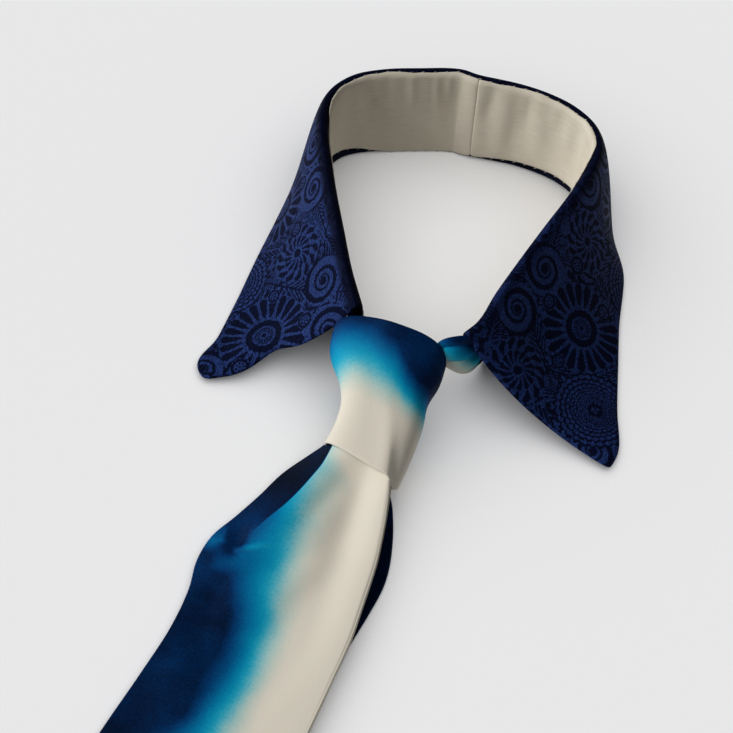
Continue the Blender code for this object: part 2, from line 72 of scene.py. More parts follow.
# Each row is one section: the roll in plan and its height, the lean of the stand and the height of its
# foot, how far the lining climbs the roll, the edge of the fall, and how the fall bends on its way.
COLLAR = (
    # x, y, top, lean, foot, climb, edge_x, edge_y, edge_z, out, drop, bow, ess, wave
    (-24.6, -146.0, 36.6, -0.5, 14.0, -5.0, -87.3, -174.8, 2.4, 0.36, 5.0, 0.0, 0.0, 1.0),
    (-26.0, -143.2, 36.9, -0.5, 9.0, -5.0, -91.2, -170.8, 2.4, 0.37, 5.2, 0.0, 0.0, 0.8),
    (-33.5, -128.4, 38.0, -0.8, 0.4, -5.0, -88.4, -150.0, 1.6, 0.40, 6.0, 0.4, 0.8, 0.0),
    (-43.0, -106.4, 40.7, -1.0, 0.15, -5.0, -85.8, -125.0, 1.4, 0.45, 10.0, 0.0, 0.0, 0.0),
    (-50.9, -87.4, 42.0, -1.4, 0.15, -4.5, -83.8, -101.0, 1.4, 0.50, 14.0, 0.0, 0.0, 0.0),
    (-57.3, -70.8, 43.0, -2.2, 0.15, -3.0, -81.5, -80.0, 1.4, 0.55, 17.0, 0.0, 0.0, 0.0),
    (-64.3, -50.3, 44.0, -3.0, 0.15, 0.5, -79.0, -55.0, 1.4, 0.62, 21.0, 0.0, 0.0, 0.0),
    (-66.3, -37.5, 44.2, -2.4, 0.15, 3.0, -78.0, -36.0, 1.4, 0.66, 23.0, 0.0, 0.0, 0.0),
    (-64.2, -25.6, 44.5, 1.0, 0.15, 4.0, -75.2, -17.5, 1.4, 0.70, 24.0, 0.0, 0.0, 0.0),
    (-57.0, -15.8, 44.8, 5.0, 0.15, 4.0, -64.5, -4.0, 1.4, 0.70, 24.0, 0.0, 0.0, 0.0),
    (-44.5, -9.2, 45.0, 6.4, 0.15, 4.0, -49.0, 4.0, 1.4, 0.70, 24.0, 0.0, 0.0, 0.0),
    (-28.0, -4.6, 45.0, 6.4, 0.15, 4.0, -31.5, 9.2, 1.4, 0.70, 24.0, 0.0, 0.0, 0.0),
    (-12.0, -0.8, 45.0, 6.8, 0.15, 4.0, -14.2, 13.2, 1.4, 0.70, 24.0, 0.0, 0.0, 0.0),
    (-8.0, -0.5, 45.0, 6.8, 0.15, 4.0, -8.8, 13.8, 1.4, 0.70, 24.0, 0.0, 0.0, 0.0),
    (-1.0, -2.3, 45.0, 6.7, 0.15, 4.0, 0.2, 13.0, 1.4, 0.70, 24.0, 0.0, 0.0, 0.0),
    (10.0, -3.2, 45.0, 6.5, 0.15, 4.0, 12.0, 12.0, 1.4, 0.70, 24.0, 0.0, 0.0, 0.0),
    (22.0, -4.2, 45.0, 6.1, 0.15, 4.0, 26.0, 10.2, 1.4, 0.70, 24.0, 0.0, 0.0, 0.0),
    (33.0, -6.8, 45.0, 5.6, 0.15, 4.0, 38.0, 6.6, 1.4, 0.70, 24.0, 0.0, 0.0, 0.0),
    (48.0, -13.2, 44.8, 4.7, 0.15, 4.0, 55.6, -2.0, 1.4, 0.70, 24.0, 0.0, 0.0, 0.0),
    (58.4, -22.6, 44.5, 3.6, 0.15, 4.0, 67.0, -14.5, 1.4, 0.70, 24.0, 0.0, 0.0, 0.0),
    (63.0, -34.0, 44.2, 2.4, 0.15, 4.0, 72.0, -32.0, 1.4, 0.66, 23.0, 0.0, 0.0, 0.0),
    (61.9, -47.0, 44.0, 1.2, 0.15, 2.5, 76.4, -50.5, 1.4, 0.62, 20.0, 0.0, 0.0, 0.0),
    (56.4, -65.9, 43.0, 0.4, 0.15, -1.5, 84.4, -71.5, 1.4, 0.55, 17.0, 0.0, 0.0, 0.0),
    (49.3, -85.1, 42.0, 0.0, 0.15, -4.0, 86.6, -100.0, 1.4, 0.50, 14.0, 0.0, 0.0, 0.0),
    (41.8, -105.8, 40.7, 0.0, 0.15, -4.0, 89.6, -125.0, 1.4, 0.45, 10.0, 0.0, 0.0, 0.0),
    (34.7, -126.0, 38.8, 0.0, 0.15, -4.0, 92.6, -149.0, 1.4, 0.40, 6.5, 0.8, 0.0, 0.0),
    (29.2, -143.2, 36.8, 0.0, 5.0, -4.0, 96.0, -171.6, 1.9, 0.37, 5.5, 1.4, 0.0, 0.0),
    (24.2, -150.0, 36.0, 0.0, 19.0, -4.0, 93.6, -180.6, 2.6, 0.36, 5.0, 1.8, 0.0, 0.0),
)
FOOT_LEAST = 0.15

# The left front edge of the fall waves to and fro on its way down to the point.
FRONT_EDGE = (
    # place down the edge, spread, how far forward
    (0.36, 0.20, 1.4), (0.71, 0.08, -4.4), (0.89, 0.07, 2.6),
)

# Soft swells and hollows of the fall, by their place in plan.
FALL_SWELLS = (
    # x, y, turn, half_length, half_width, height
    (-74.0, -152.0, -60.0, 16.0, 7.0, 0.9),
    (-62.0, -150.0, 70.0, 15.0, 5.0, -0.8),
    (-64.0, -112.0, 75.0, 20.0, 6.0, 0.6),
    (78.0, -150.0, -60.0, 18.0, 8.0, 0.7),
    (60.0, -142.0, -50.0, 14.0, 6.0, -0.7),
    (72.0, -112.0, 85.0, 20.0, 8.0, 0.6),
    (70.0, -30.0, 80.0, 10.0, 5.0, 0.5),
    (-30.0, 6.0, 60.0, 9.0, 6.0, 0.5),
    (22.0, 8.0, 110.0, 10.0, 6.0, -0.4),
)


def hermite(t, span, low, high, low_slope, high_slope):
    """Values of a smooth line at share t of the span between two places of a table."""
    start = (2 * t**3 - 3 * t**2 + 1) * low + (t**3 - 2 * t**2 + t) * span * low_slope
    end = (3 * t**2 - 2 * t**3) * high + (t**3 - t**2) * span * high_slope
    return start + end


def spline(rows, at):
    """Read a table along a smooth line through its rows, by the length of the first two columns."""
    table = np.array(rows, dtype=float)
    steps = np.linalg.norm(np.diff(table[:, :2], axis=0), axis=1)
    length = np.concatenate(([0.0], np.cumsum(steps)))
    slopes = np.gradient(table, length, axis=0)
    where = np.asarray(at) * length[-1]
    row = np.clip(np.searchsorted(length, where, side="right") - 1, 0, len(table) - 2)
    t = ((where - length[row]) / steps[row])[:, None]
    return hermite(t, steps[row][:, None], table[row], table[row + 1], slopes[row], slopes[row + 1])


def placed(points):
    """Turn table points in millimetres into metres round the model's own origin."""
    return (np.array(points, dtype=float) - (FOOTPRINT_X, FOOTPRINT_Y, 0.0)) * MM


def swells(x, y, table):
    """Height of a table's soft swells and hollows over points x, y."""
    total = np.zeros(np.broadcast(x, y).shape)
    for at_x, at_y, turn, half_length, half_width, height in table:
        angle = math.radians(turn)
        along = (x - at_x) * math.cos(angle) + (y - at_y) * math.sin(angle)
        across = (y - at_y) * math.cos(angle) - (x - at_x) * math.sin(angle)
        total += height * np.exp(-((along / half_length) ** 2) - (across / half_width) ** 2)
    return total


def grid_normals(points):
    """Unit normals of a grid of points."""
    along = np.gradient(points, axis=0)
    across = np.gradient(points, axis=1)
    normals = np.cross(along, across)
    return normals / np.maximum(np.linalg.norm(normals, axis=2, keepdims=True), 1e-9)


def grid_corners(rows, columns, closed=False):
    """Row and column of the four corners of each quad of a grid."""
    across = columns if closed else columns - 1
    i, j = (a.ravel() for a in np.meshgrid(np.arange(rows - 1), np.arange(across), indexing="ij"))
    return np.stack((i, i, i + 1, i + 1), axis=1), np.stack((j, j + 1, j + 1, j), axis=1)


def cut_lengths(points):
    """Place of each grid point in the flat cloth, in metres, where the grid's own lines are its threads."""
    across = np.linalg.norm(np.diff(points, axis=1), axis=2)
    along = np.linalg.norm(np.diff(points, axis=0), axis=2)
    u = np.concatenate((np.zeros((len(points), 1)), np.cumsum(across, axis=1)), axis=1)
    v = np.concatenate((np.zeros((1, points.shape[1])), np.cumsum(along, axis=0)), axis=0)
    u -= u[:, -1:] / 2
    v = np.repeat(v.mean(axis=1)[:, None], points.shape[1], axis=1)
    return np.stack((u, v), axis=2) * MM


def add_object(name, data):
    """An object of the data, in the scene."""
    thing = bpy.data.objects.new(name, data)
    bpy.context.scene.collection.objects.link(thing)
    return thing


def add_grid(name, points, material, cut, closed=False, dye_and_painted_shade=None, caps=()):
    """Cloth without thickness on a grid of points; cut is each point's place in the flat cloth."""
    rows, columns = points.shape[:2]
    row, column = grid_corners(rows, columns, closed)
    faces = (row * columns + column % columns).tolist()
    mesh = bpy.data.meshes.new(name)
    mesh.from_pydata(placed(points.reshape(-1, 3)).tolist(), [], faces + list(caps))
    corner_cut = np.zeros((len(mesh.loops), 2), np.float32)
    corner_cut[:row.size] = cut[row, column].reshape(-1, 2)
    mesh.uv_layers.new(name="cut").uv.foreach_set("vector", corner_cut.ravel())
    # The attribute holds the tie's dye, and painted shade on the collar's roll and on the blade's fold and
    # pucker.
    if dye_and_painted_shade is not None:
        field = mesh.attributes.new("dye_and_painted_shade", "FLOAT", "POINT")
        field.data.foreach_set("value", dye_and_painted_shade.astype(np.float32).ravel())
    mesh.shade_smooth()
    mesh.materials.append(material)
    return add_object(name, mesh)


def add_cloth(name, points, wall, material, cut, offset=0.0, closed=False, dye_and_painted_shade=None):
    """A wall of cloth on a grid of points, with its edges rounded."""
    piece = add_grid(name, points, material, cut, closed, dye_and_painted_shade)
    solidify = piece.modifiers.new("wall", "SOLIDIFY")
    solidify.thickness = wall * MM
    solidify.offset = offset
    smooth = piece.modifiers.new("soft edges", "SUBSURF")
    smooth.levels = smooth.render_levels = 1
    return piece


def laid_flat(points):
    """Flatten an open grid of cloth as its cut lies on the table, in metres, its middle row upright."""
    rows, columns = points.shape[:2]
    row, column = grid_corners(rows, columns)
    faces = row * columns + column
    mesh = bpy.data.meshes.new("cut")
    mesh.from_pydata((points.reshape(-1, 3) * MM).tolist(), [], faces.tolist())
    mesh.uv_layers.new(name="cut")
    cloth = add_object("cut", mesh)
    bpy.context.view_layer.objects.active = cloth
    bpy.ops.object.mode_set(mode="EDIT")
    bpy.ops.mesh.select_all(action="SELECT")
    bpy.ops.uv.unwrap(method="MINIMUM_STRETCH", margin=0.0)
    bpy.ops.object.mode_set(mode="OBJECT")
    corners = np.zeros(faces.size * 2, np.float32)
    mesh.uv_layers[0].uv.foreach_get("vector", corners)
    flat = np.zeros((rows * columns, 2))
    flat[faces.ravel()] = corners.reshape(-1, 2)
    a, b, c, d = (flat[faces[:, k]] for k in range(4))
    turned = (c[:, 0] - a[:, 0]) * (d[:, 1] - b[:, 1]) - (c[:, 1] - a[:, 1]) * (d[:, 0] - b[:, 0])
    real_area = sum(face.area for face in mesh.polygons)
    flat *= math.sqrt(real_area / abs(turned.sum() / 2))
    flat = flat.reshape(rows, columns, 2)
    if turned.sum() > 0.0:
        flat[:, :, 0] *= -1.0
    down = flat[rows // 2, -1] - flat[rows // 2, 0]
    turn = -math.pi / 2 - math.atan2(down[1], down[0])
    turning = np.array(((math.cos(turn), math.sin(turn)), (-math.sin(turn), math.cos(turn))))
    bpy.data.objects.remove(cloth, do_unlink=True)
    return (flat - flat[rows // 2, 0]) @ turning


class CollarLine:
    """The collar's sections read at given shares of the way round the neck."""

    def __init__(self, at):
        table = spline(COLLAR, at)
        self.crest = table[:, :2]
        self.top, self.lean, self.foot, self.climb = table[:, 2:6].T
        self.foot = np.maximum(self.foot, FOOT_LEAST)
        self.edge = table[:, 6:9]
        self.out, self.drop, self.bow, self.ess, self.wave = table[:, 9:].T
        near = np.clip(np.array([at - HEADING_STEP, at + HEADING_STEP]), 0.0, 1.0)
        before, after = (spline(COLLAR, row)[:, :2] for row in near)
        travel = after - before
        travel /= np.linalg.norm(travel, axis=1)[:, None]
        self.outward = np.stack([-travel[:, 1], travel[:, 0]], axis=1)
        steps = np.linalg.norm(np.diff(self.crest, axis=0), axis=1)
        self.round = np.concatenate(([0.0], np.cumsum(steps)))

    def wall_top(self, i, inset):
        """Height at which section i of the stand, inset towards the neck, starts to roll over."""
        height = self.top[i] - ROLL_RADIUS
        return height + (ROLL_RADIUS + inset) * math.sin(math.atan2(self.lean[i], height))

    def stand(self, i, inset, girth):
        """Points at lengths girth up the stand of section i and over its roll."""
        height = self.top[i] - ROLL_RADIUS
        tilt = math.atan2(self.lean[i], height)
        radius = ROLL_RADIUS + inset
        turn = math.pi - tilt - np.maximum(girth - self.wall_top(i, inset), 0.0) / radius
        rolling = turn < math.pi - tilt
        z = np.where(rolling, height + radius * np.sin(turn), girth)
        below = np.maximum(1.0 - z / height, 0.0)
        reach = np.where(rolling, radius * np.cos(turn), -radius * math.cos(tilt))
        reach = reach - self.lean[i] * below
        plan = self.crest[i] + self.outward[i] * reach[:, None]
        return np.column_stack((plan, z))

    def fall(self, i, points):
        """Points down the fall of section i, from just past the roll's crest to the edge."""
        t = np.linspace(0.0, 1.0, points + 1)[1:] ** FALL_CROWDING
        span = self.edge[i, :2] - self.crest[i]
        forward = np.array((span[1], -span[0])) / np.linalg.norm(span)
        if forward[1] > 0.0:
            forward = -forward
        swing = self.bow[i] * np.sin(math.pi * t) - self.ess[i] * np.sin(2 * math.pi * t)
        for at, spread, forth in FRONT_EDGE:
            swing += self.wave[i] * forth * np.exp(-(((t - at) / spread) ** 2)) * np.sin(math.pi * t) ** 0.5
        weights = np.column_stack(((1 - t) ** 3, 3 * t * (1 - t) ** 2, 3 * t**2 * (1 - t), t**3))
        pulls = np.array((
            (*self.crest[i], self.top[i]),
            (*(self.crest[i] + self.outward[i] * ROLL_RUN), self.top[i]),
            (*(self.crest[i] + span * self.out[i]), self.drop[i]),
            self.edge[i],
        ))
        down = weights @ pulls
        down[:, :2] += forward * swing[:, None]
        return down


def srgb(code):
    """Linear colour of an sRGB hex value."""
    parts = [int(code[k:k + 2], 16) / 255 for k in (1, 3, 5)]
    linear = [c / 12.92 if c <= 0.04045 else ((c + 0.055) / 1.055) ** 2.4 for c in parts]
    return (*linear, 1.0)


def add_node(tree, kind, inputs=(), **settings):
    """Add a node and give its first output; each input is a value or the socket that feeds it."""
    node = tree.nodes.new(kind)
    for name, value in settings.items():
        setattr(node, name, value)
    pairs = inputs.items() if isinstance(inputs, dict) else enumerate(inputs)
    for key, value in pairs:
        if isinstance(value, bpy.types.NodeSocket):
            tree.links.new(value, node.inputs[key])
        else:
            node.inputs[key].default_value = value
    return node.outputs[0] if node.outputs else node


def maths(tree, operation, *values):
    """A Math node on its values and sockets."""
    return add_node(tree, "ShaderNodeMath", values, operation=operation)


def vector_maths(tree, operation, *values):
    """A Vector Math node on its vectors and sockets."""
    return add_node(tree, "ShaderNodeVectorMath", values, operation=operation)


def millimetres(tree, metres):
    """A place in metres as one in millimetres."""
    return add_node(tree, "ShaderNodeVectorMath", {0: metres, "Scale": 1 / MM}, operation="SCALE")


def flat_place(tree):
    """The place in the flat cloth, in millimetres."""
    return millimetres(tree, add_node(tree, "ShaderNodeUVMap", uv_map="cut"))


def dye_level(tree):
    """The per-point attribute that a piece's colour follows: dye on the tie, painted shade on the collar's
    roll, and on the blade both.
    """
    return add_node(tree, "ShaderNodeAttribute", attribute_name="dye_and_painted_shade").node.outputs["Fac"]


def noise(tree, place, scale, detail):
    """Soft noise over a place."""
    return add_node(tree, "ShaderNodeTexNoise", {"Vector": place, "Scale": scale, "Detail": detail})


def wave(tree, place, scale, direction):
    """Even bands over a place."""
    bands = {"Vector": place, "Scale": scale}
    return add_node(tree, "ShaderNodeTexWave", bands, bands_direction=direction)


def remap(tree, value, span, to):
    """Carry a value from one span to another."""
    return add_node(tree, "ShaderNodeMapRange", {0: value, 1: span[0], 2: span[1], 3: to[0], 4: to[1]})


def ramp(tree, value, stops, interpolation="LINEAR"):
    """A ramp over a value, with stops of place and colour, or of place and grey."""
    socket = add_node(tree, "ShaderNodeValToRGB", (value,))
    scale = socket.node.color_ramp
    scale.interpolation = interpolation
    while len(scale.elements) > 1:
        scale.elements.remove(scale.elements[-1])
    for k, (place, tone) in enumerate(stops):
        element = scale.elements[0] if k == 0 else scale.elements.new(place)
        element.position = place
        element.color = tone if isinstance(tone, tuple) else (tone, tone, tone, 1.0)
    return socket


def mixed_colours(tree, share, first, second):
    """Two colours mixed by a share."""
    colours = {0: share, 6: first, 7: second}
    return add_node(tree, "ShaderNodeMix", colours, data_type="RGBA").node.outputs[2]


def new_material(name):
    """An empty material with its output; gives the material and its tree."""
    material = bpy.data.materials.new(name)
    material.use_nodes = True
    material.node_tree.nodes.clear()
    return material, material.node_tree


def finish_material(tree, looks, height=None, strength=0.0):
    """Close a material with its shader, over threads in relief where a height is given."""
    if height is not None:
        threads = {"Strength": strength, "Distance": THREAD_RELIEF * MM, "Height": height}
        looks["Normal"] = add_node(tree, "ShaderNodeBump", threads)
    surface = add_node(tree, "ShaderNodeBsdfPrincipled", looks)
    add_node(tree, "ShaderNodeOutputMaterial", (surface,))


def new_figure(name):
    """A group that draws one woven figure from its own place on the cloth, in millimetres."""
    tree = bpy.data.node_groups.new(name, "ShaderNodeTree")
    for socket, side, kind in (
        ("Dark", "OUTPUT", "Float"), ("Cover", "OUTPUT", "Float"),
        ("Point", "INPUT", "Vector"), ("Radius", "INPUT", "Float"), ("Petals", "INPUT", "Float"),
    ):
        tree.interface.new_socket(socket, in_out=side, socket_type="NodeSocket" + kind)
    source = add_node(tree, "NodeGroupInput").node.outputs
    return tree, source["Point"], source["Radius"], source["Petals"]


def new_round_figure(name):
    """A figure's group, with the share of the radius and of a full turn at each place, and its petals."""
    tree, point, radius, petals = new_figure(name)
    share = maths(tree, "DIVIDE", vector_maths(tree, "LENGTH", point).node.outputs[1], radius)
    parts = add_node(tree, "ShaderNodeSeparateXYZ", (point,)).node.outputs
    angle = maths(tree, "ARCTAN2", parts[1], parts[0])
    return tree, share, maths(tree, "MULTIPLY", angle, 0.5 / math.pi), petals


def new_rosette(name, chart, turns=0.0):
    """A round figure: chart gives, for each share of the radius, how much of each petal's width is dark."""
    tree, share, turn, petals = new_round_figure(name)
    sweep = maths(tree, "MULTIPLY_ADD", share, turns, turn)
    count = maths(tree, "MULTIPLY", sweep, petals)
    aside = maths(tree, "PINGPONG", count, 0.5)
    half = maths(tree, "MULTIPLY", ramp(tree, share, chart), 0.5)
    dark = maths(tree, "LESS_THAN", aside, half)
    add_node(tree, "NodeGroupOutput", (dark, maths(tree, "LESS_THAN", share, 1.0)))
    return tree


def new_scaled_flower(name, growth, curve, start, end, rim, heart):
    """A round flower of scale-like petals in rings, each ring wider than the last by growth."""
    tree, share, turn, petals = new_round_figure(name)
    ring = maths(tree, "LOGARITHM", share, growth)
    count = maths(tree, "MULTIPLY", turn, petals)
    shifted = maths(tree, "MULTIPLY_ADD", maths(tree, "FLOOR", ring), 0.5, count)
    aside = maths(tree, "PINGPONG", shifted, 0.5)
    bow = maths(tree, "MULTIPLY", aside, aside)
    rise = maths(tree, "MULTIPLY_ADD", bow, curve, maths(tree, "FRACT", ring))
    scale = maths(tree, "COMPARE", rise, (start + end) / 2, (end - start) / 2)
    dark = maths(tree, "MAXIMUM", scale, maths(tree, "COMPARE", share, *heart))
    lobe = maths(tree, "MULTIPLY_ADD", bow, rim, share)
    add_node(tree, "NodeGroupOutput", (dark, maths(tree, "LESS_THAN", lobe, 1.0)))
    return tree


def new_curl(name, growth, band, bead):
    """A scroll: one dark band that winds in to a round end."""
    tree, share, turn = new_round_figure(name)[:3]
    sweep = maths(tree, "ADD", turn, maths(tree, "LOGARITHM", share, growth))
    winding = maths(tree, "LESS_THAN", maths(tree, "PINGPONG", sweep, 0.5), band)
    dark = maths(tree, "MAXIMUM", winding, maths(tree, "LESS_THAN", share, bead))
    add_node(tree, "NodeGroupOutput", (dark, maths(tree, "LESS_THAN", share, 1.0)))
    return tree


def new_leaf(name, outline, slant, gap, rib):
    """A leaf along its own X, from its half widths; a rib under zero is left in the ground's blue."""
    tree, point, radius, petals = new_figure(name)
    scaled = vector_maths(tree, "DIVIDE", point, radius)
    parts = add_node(tree, "ShaderNodeSeparateXYZ", (scaled,)).node.outputs
    across = maths(tree, "ABSOLUTE", parts[1])
    along = maths(tree, "MULTIPLY_ADD", parts[0], 0.5, 0.5)
    cover = maths(tree, "LESS_THAN", across, ramp(tree, along, outline, "B_SPLINE"))
    count = maths(tree, "MULTIPLY", maths(tree, "MULTIPLY_ADD", across, -slant, along), petals)
    blade = maths(tree, "GREATER_THAN", maths(tree, "PINGPONG", count, 0.5), gap / 2)
    stem = maths(tree, "LESS_THAN", across, abs(rib))
    dark = maths(tree, "MAXIMUM" if rib > 0.0 else "SUBTRACT", blade, stem)
    add_node(tree, "NodeGroupOutput", (dark, cover))
    return tree


# The figure of the cloth: common flowers, leaves, curls and berries in near-black on a blue satin
# ground, in a repeat of 76 by 84 mm. Places and radii are in millimetres on the flat cloth.
REPEAT_WIDTH = 76.0
REPEAT_HEIGHT = 84.0
WEAVE_STEP = 0.42
THREAD_RELIEF = 0.1
FIGURES = {
    "daisy": new_rosette("ringed_daisy", (
        (0.0, 1.0), (0.05, 1.0), (0.06, 0.0), (0.09, 0.0), (0.10, 0.55), (0.21, 0.6), (0.22, 0.0),
        (0.255, 0.0), (0.26, 1.0), (0.40, 1.0), (0.41, 0.15), (0.475, 0.0), (0.48, 0.3), (0.62, 0.66),
        (0.90, 0.78), (0.97, 0.45), (1.0, 0.0),
    )),
    "berry": new_rosette("berry", (
        (0.0, 1.0), (0.12, 1.0), (0.13, 0.0), (0.24, 0.0), (0.25, 0.55), (0.52, 0.6), (0.53, 0.0),
        (0.62, 0.0), (0.63, 1.0), (0.93, 1.0), (0.94, 0.0),
    )),
    "aster": new_rosette("aster", (
        (0.0, 1.0), (0.14, 1.0), (0.15, 0.0), (0.20, 0.0), (0.22, 0.35), (0.55, 0.75), (0.60, 0.1),
        (0.66, 0.3), (0.88, 0.8), (1.0, 0.0),
    ), 0.12),
    "dahlia": new_scaled_flower(
        "scaled_dahlia", growth=1.17, curve=1.6, start=0.52, end=1.0, rim=0.35, heart=(0.14, 0.04),
    ),
    "curl": new_curl("curl", growth=2.1, band=0.2, bead=0.17),
    "spray": new_leaf("spray", (
        (0.0, 0.0), (0.15, 0.22), (0.5, 0.36), (0.85, 0.2), (1.0, 0.0),
    ), slant=0.7, gap=0.5, rib=0.03),
    "leaf": new_leaf("leaf", (
        (0.0, 0.0), (0.2, 0.26), (0.5, 0.4), (0.8, 0.2), (1.0, 0.0),
    ), slant=0.8, gap=0.26, rib=-0.035),
}
REPEAT = (
    # figure, x, y, turn, radius, petals
    ("leaf", 8.0, 47.0, 70.0, 11.0, 7.0),
    ("leaf", 30.0, 2.0, 25.0, 12.0, 8.0),
    ("spray", 62.0, 14.0, 130.0, 13.0, 9.0),
    ("spray", 40.0, 66.0, 60.0, 14.0, 10.0),
    ("leaf", 46.0, 25.0, -35.0, 9.0, 6.0),
    ("leaf", 71.0, 56.0, 110.0, 10.0, 7.0),
    ("spray", 0.0, 78.0, 15.0, 12.0, 9.0),
    ("curl", 41.0, 78.0, 200.0, 12.0, 1.0),
    ("curl", 66.0, 76.0, 20.0, 12.0, 1.0),
    ("curl", 1.0, 22.0, 120.0, 10.5, 1.0),
    ("aster", 19.0, 63.0, 10.0, 14.5, 14.0),
    ("dahlia", 22.0, 24.0, 0.0, 20.0, 32.0),
    ("daisy", 57.0, 45.0, 0.0, 21.5, 21.0),
    ("berry", 48.0, 10.0, 0.0, 5.6, 8.0),
    ("berry", 73.0, 38.0, 0.0, 4.4, 7.0),
    ("berry", 5.0, 62.0, 0.0, 4.6, 7.0),
    ("berry", 56.0, 66.0, 0.0, 4.0, 6.0),
    ("berry", 36.0, 48.0, 0.0, 3.6, 6.0),
)

# Figured jacquard of dyed silk and viscose: the satin ground shines a little, the twill figure is
# matt and nearly black. Real threads lie 0.2 mm apart; steps of 0.42 mm are the finest that show.
# Along the roll and up the inside of the stand the ground is painted dull and nearly black: painted shade,
# partly the real dullness of bent floats. Scales are per millimetre of the flat cloth.
EDGE_SHAKE = 0.9
SEED_SCALE = 0.34
STROKE_SCALE = 0.2
STROKE_WANDER = 34.0
FLOAT_SCALES = (0.7, 1.7, 1.0)
# How far the painted shade on the roll dims the ground's floats, and how far it turns the ground towards
# the twill's near-black.
ROLL_SHADED_LUSTRE = 0.12
ROLL_PAINTED_SHADE = 0.85
FIGURE_DEPTH = 0.6
jacquard, tree = new_material("figured_jacquard")
flat = flat_place(tree)
shake = vector_maths(tree, "SUBTRACT", noise(tree, flat, 0.5, 1.0).node.outputs["Color"], (0.5, 0.5, 0.5))
drawn = vector_maths(tree, "MULTIPLY_ADD", shake, (EDGE_SHAKE, EDGE_SHAKE, 0.0), flat)
woven = vector_maths(tree, "SNAP", drawn, (WEAVE_STEP, WEAVE_STEP, 1.0))
seeds = add_node(tree, "ShaderNodeTexVoronoi", {"Vector": woven, "Scale": SEED_SCALE, "Randomness": 0.75})
sown = remap(tree, noise(tree, woven, 0.075, 0.0), (0.38, 0.44), (0.0, 0.44))
berries = maths(tree, "LESS_THAN", seeds, sown)
wander = noise(tree, flat, 0.05, 0.0).node.outputs["Color"]
swept = vector_maths(tree, "MULTIPLY_ADD", wander, (STROKE_WANDER, STROKE_WANDER, 0.0), woven)
blades = remap(tree, noise(tree, woven, 0.3, 0.0), (0.36, 0.46), (0.0, 0.5))
strokes = maths(tree, "LESS_THAN", wave(tree, swept, STROKE_SCALE, "DIAGONAL"), blades)
figure = maths(tree, "MAXIMUM", berries, strokes)
half_repeat = (REPEAT_WIDTH / 2, REPEAT_HEIGHT / 2, 1.0)
for kind, x, y, turn, radius, petals in REPEAT:
    away = vector_maths(tree, "SUBTRACT", woven, (x, y, 0.0))
    nearest = vector_maths(tree, "WRAP", away, half_repeat, tuple(-side for side in half_repeat))
    turned = {"Vector": nearest, "Angle": -math.radians(turn)}
    own = add_node(tree, "ShaderNodeVectorRotate", turned, rotation_type="Z_AXIS")
    drawing = {"Point": own, "Radius": radius, "Petals": petals}
    dark = add_node(tree, "ShaderNodeGroup", drawing, node_tree=FIGURES[kind])
    figure = add_node(tree, "ShaderNodeMix", {0: dark.node.outputs["Cover"], 2: figure, 3: dark})
floats = noise(tree, vector_maths(tree, "MULTIPLY", flat, FLOAT_SCALES), 1.0, 1.0)
bold = remap(tree, floats, (0.32, 0.68), (0.05, 0.9))
shade = remap(tree, noise(tree, flat, 0.05, 2.0), (0.3, 0.7), (0.85, 1.15))
# Painted shade along the roll and up the inside of the stand: there the ground loses its lustre and turns
# towards the nearly black twill.
roll_shade_level = dye_level(tree)
roll_shading = remap(tree, roll_shade_level, (0.0, 1.0), (1.0, ROLL_SHADED_LUSTRE))
float_tone_and_roll_shade = maths(tree, "MULTIPLY", maths(tree, "MULTIPLY", bold, shade), roll_shading)
ground = mixed_colours(tree, float_tone_and_roll_shade, srgb("#0B112F"), srgb("#24386B"))
twill = mixed_colours(tree, float_tone_and_roll_shade, srgb("#030512"), srgb("#0B1028"))
figure_and_roll_shade = maths(tree, "MAXIMUM", figure, maths(tree, "MULTIPLY", roll_shade_level, ROLL_PAINTED_SHADE))
finish_material(tree, {
    "Base Color": mixed_colours(tree, figure_and_roll_shade, ground, twill),
    "Roughness": remap(tree, figure, (0.0, 1.0), (0.6, 0.8)), "IOR": 1.5, "Specular IOR Level": 0.06,
    "Specular Tint": srgb("#7E96E8"),
}, height=maths(tree, "MULTIPLY_ADD", figure, -FIGURE_DEPTH, floats), strength=0.5)

stations = np.linspace(0.0, 1.0, COLLAR_SECTIONS)
line = CollarLine(stations)
sections = []
for i in range(COLLAR_SECTIONS):
    wall = line.wall_top(i, 0.0)
    quarter = ROLL_RADIUS * (math.pi / 2 - math.atan2(line.lean[i], line.top[i]))
    up = np.linspace(line.foot[i] + STAND_FOOT, wall, STAND_POINTS + 1)[:-1]
    over = wall + np.linspace(0.0, quarter, ROLL_POINTS + 1)
    inner = line.stand(i, 0.0, np.concatenate((up, over)))
    sections.append(np.vstack((inner, line.fall(i, FALL_POINTS))))
shell = np.array(sections)
crest = STAND_POINTS + ROLL_POINTS
fall = shell[:, crest:]
fall += grid_normals(fall) * swells(fall[:, :, 0], fall[:, :, 1], FALL_SWELLS)[:, :, None]
fall[:, :, 2] = np.maximum(fall[:, :, 2], JACQUARD_WALL / 2)
fall_cut = laid_flat(fall)
upward = fall_cut[:, 0] - fall_cut[:, 1]
upward /= np.linalg.norm(upward, axis=1)[:, None]
steps = np.linalg.norm(np.diff(shell[:, :crest + 1], axis=1), axis=2)
above = np.cumsum(steps[:, ::-1], axis=1)[:, ::-1] * MM
stand_cut = fall_cut[:, :1] + upward[:, None] * above[:, :, None]
collar_cut = np.concatenate((stand_cut, fall_cut), axis=1)
from_crest = np.concatenate((-above, np.linalg.norm(fall_cut - fall_cut[:, :1], axis=2)), axis=1) / MM
# Painted shade: full up the inside of the stand and over the roll, fading out a few millimetres down the
# fall.
roll_painted_shade = np.exp(-((np.maximum(from_crest, 0.0) / CREST_SHADE_REACH) ** CREST_SHARPNESS))
roll_painted_shade *= np.interp(stations, *zip(*CREST_SHADE_STRENGTH))[:, None]
collar = add_cloth("collar_jacquard", shell, JACQUARD_WALL, jacquard, collar_cut, dye_and_painted_shade=roll_painted_shade)
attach(collar, "root")
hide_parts("collar_shell")


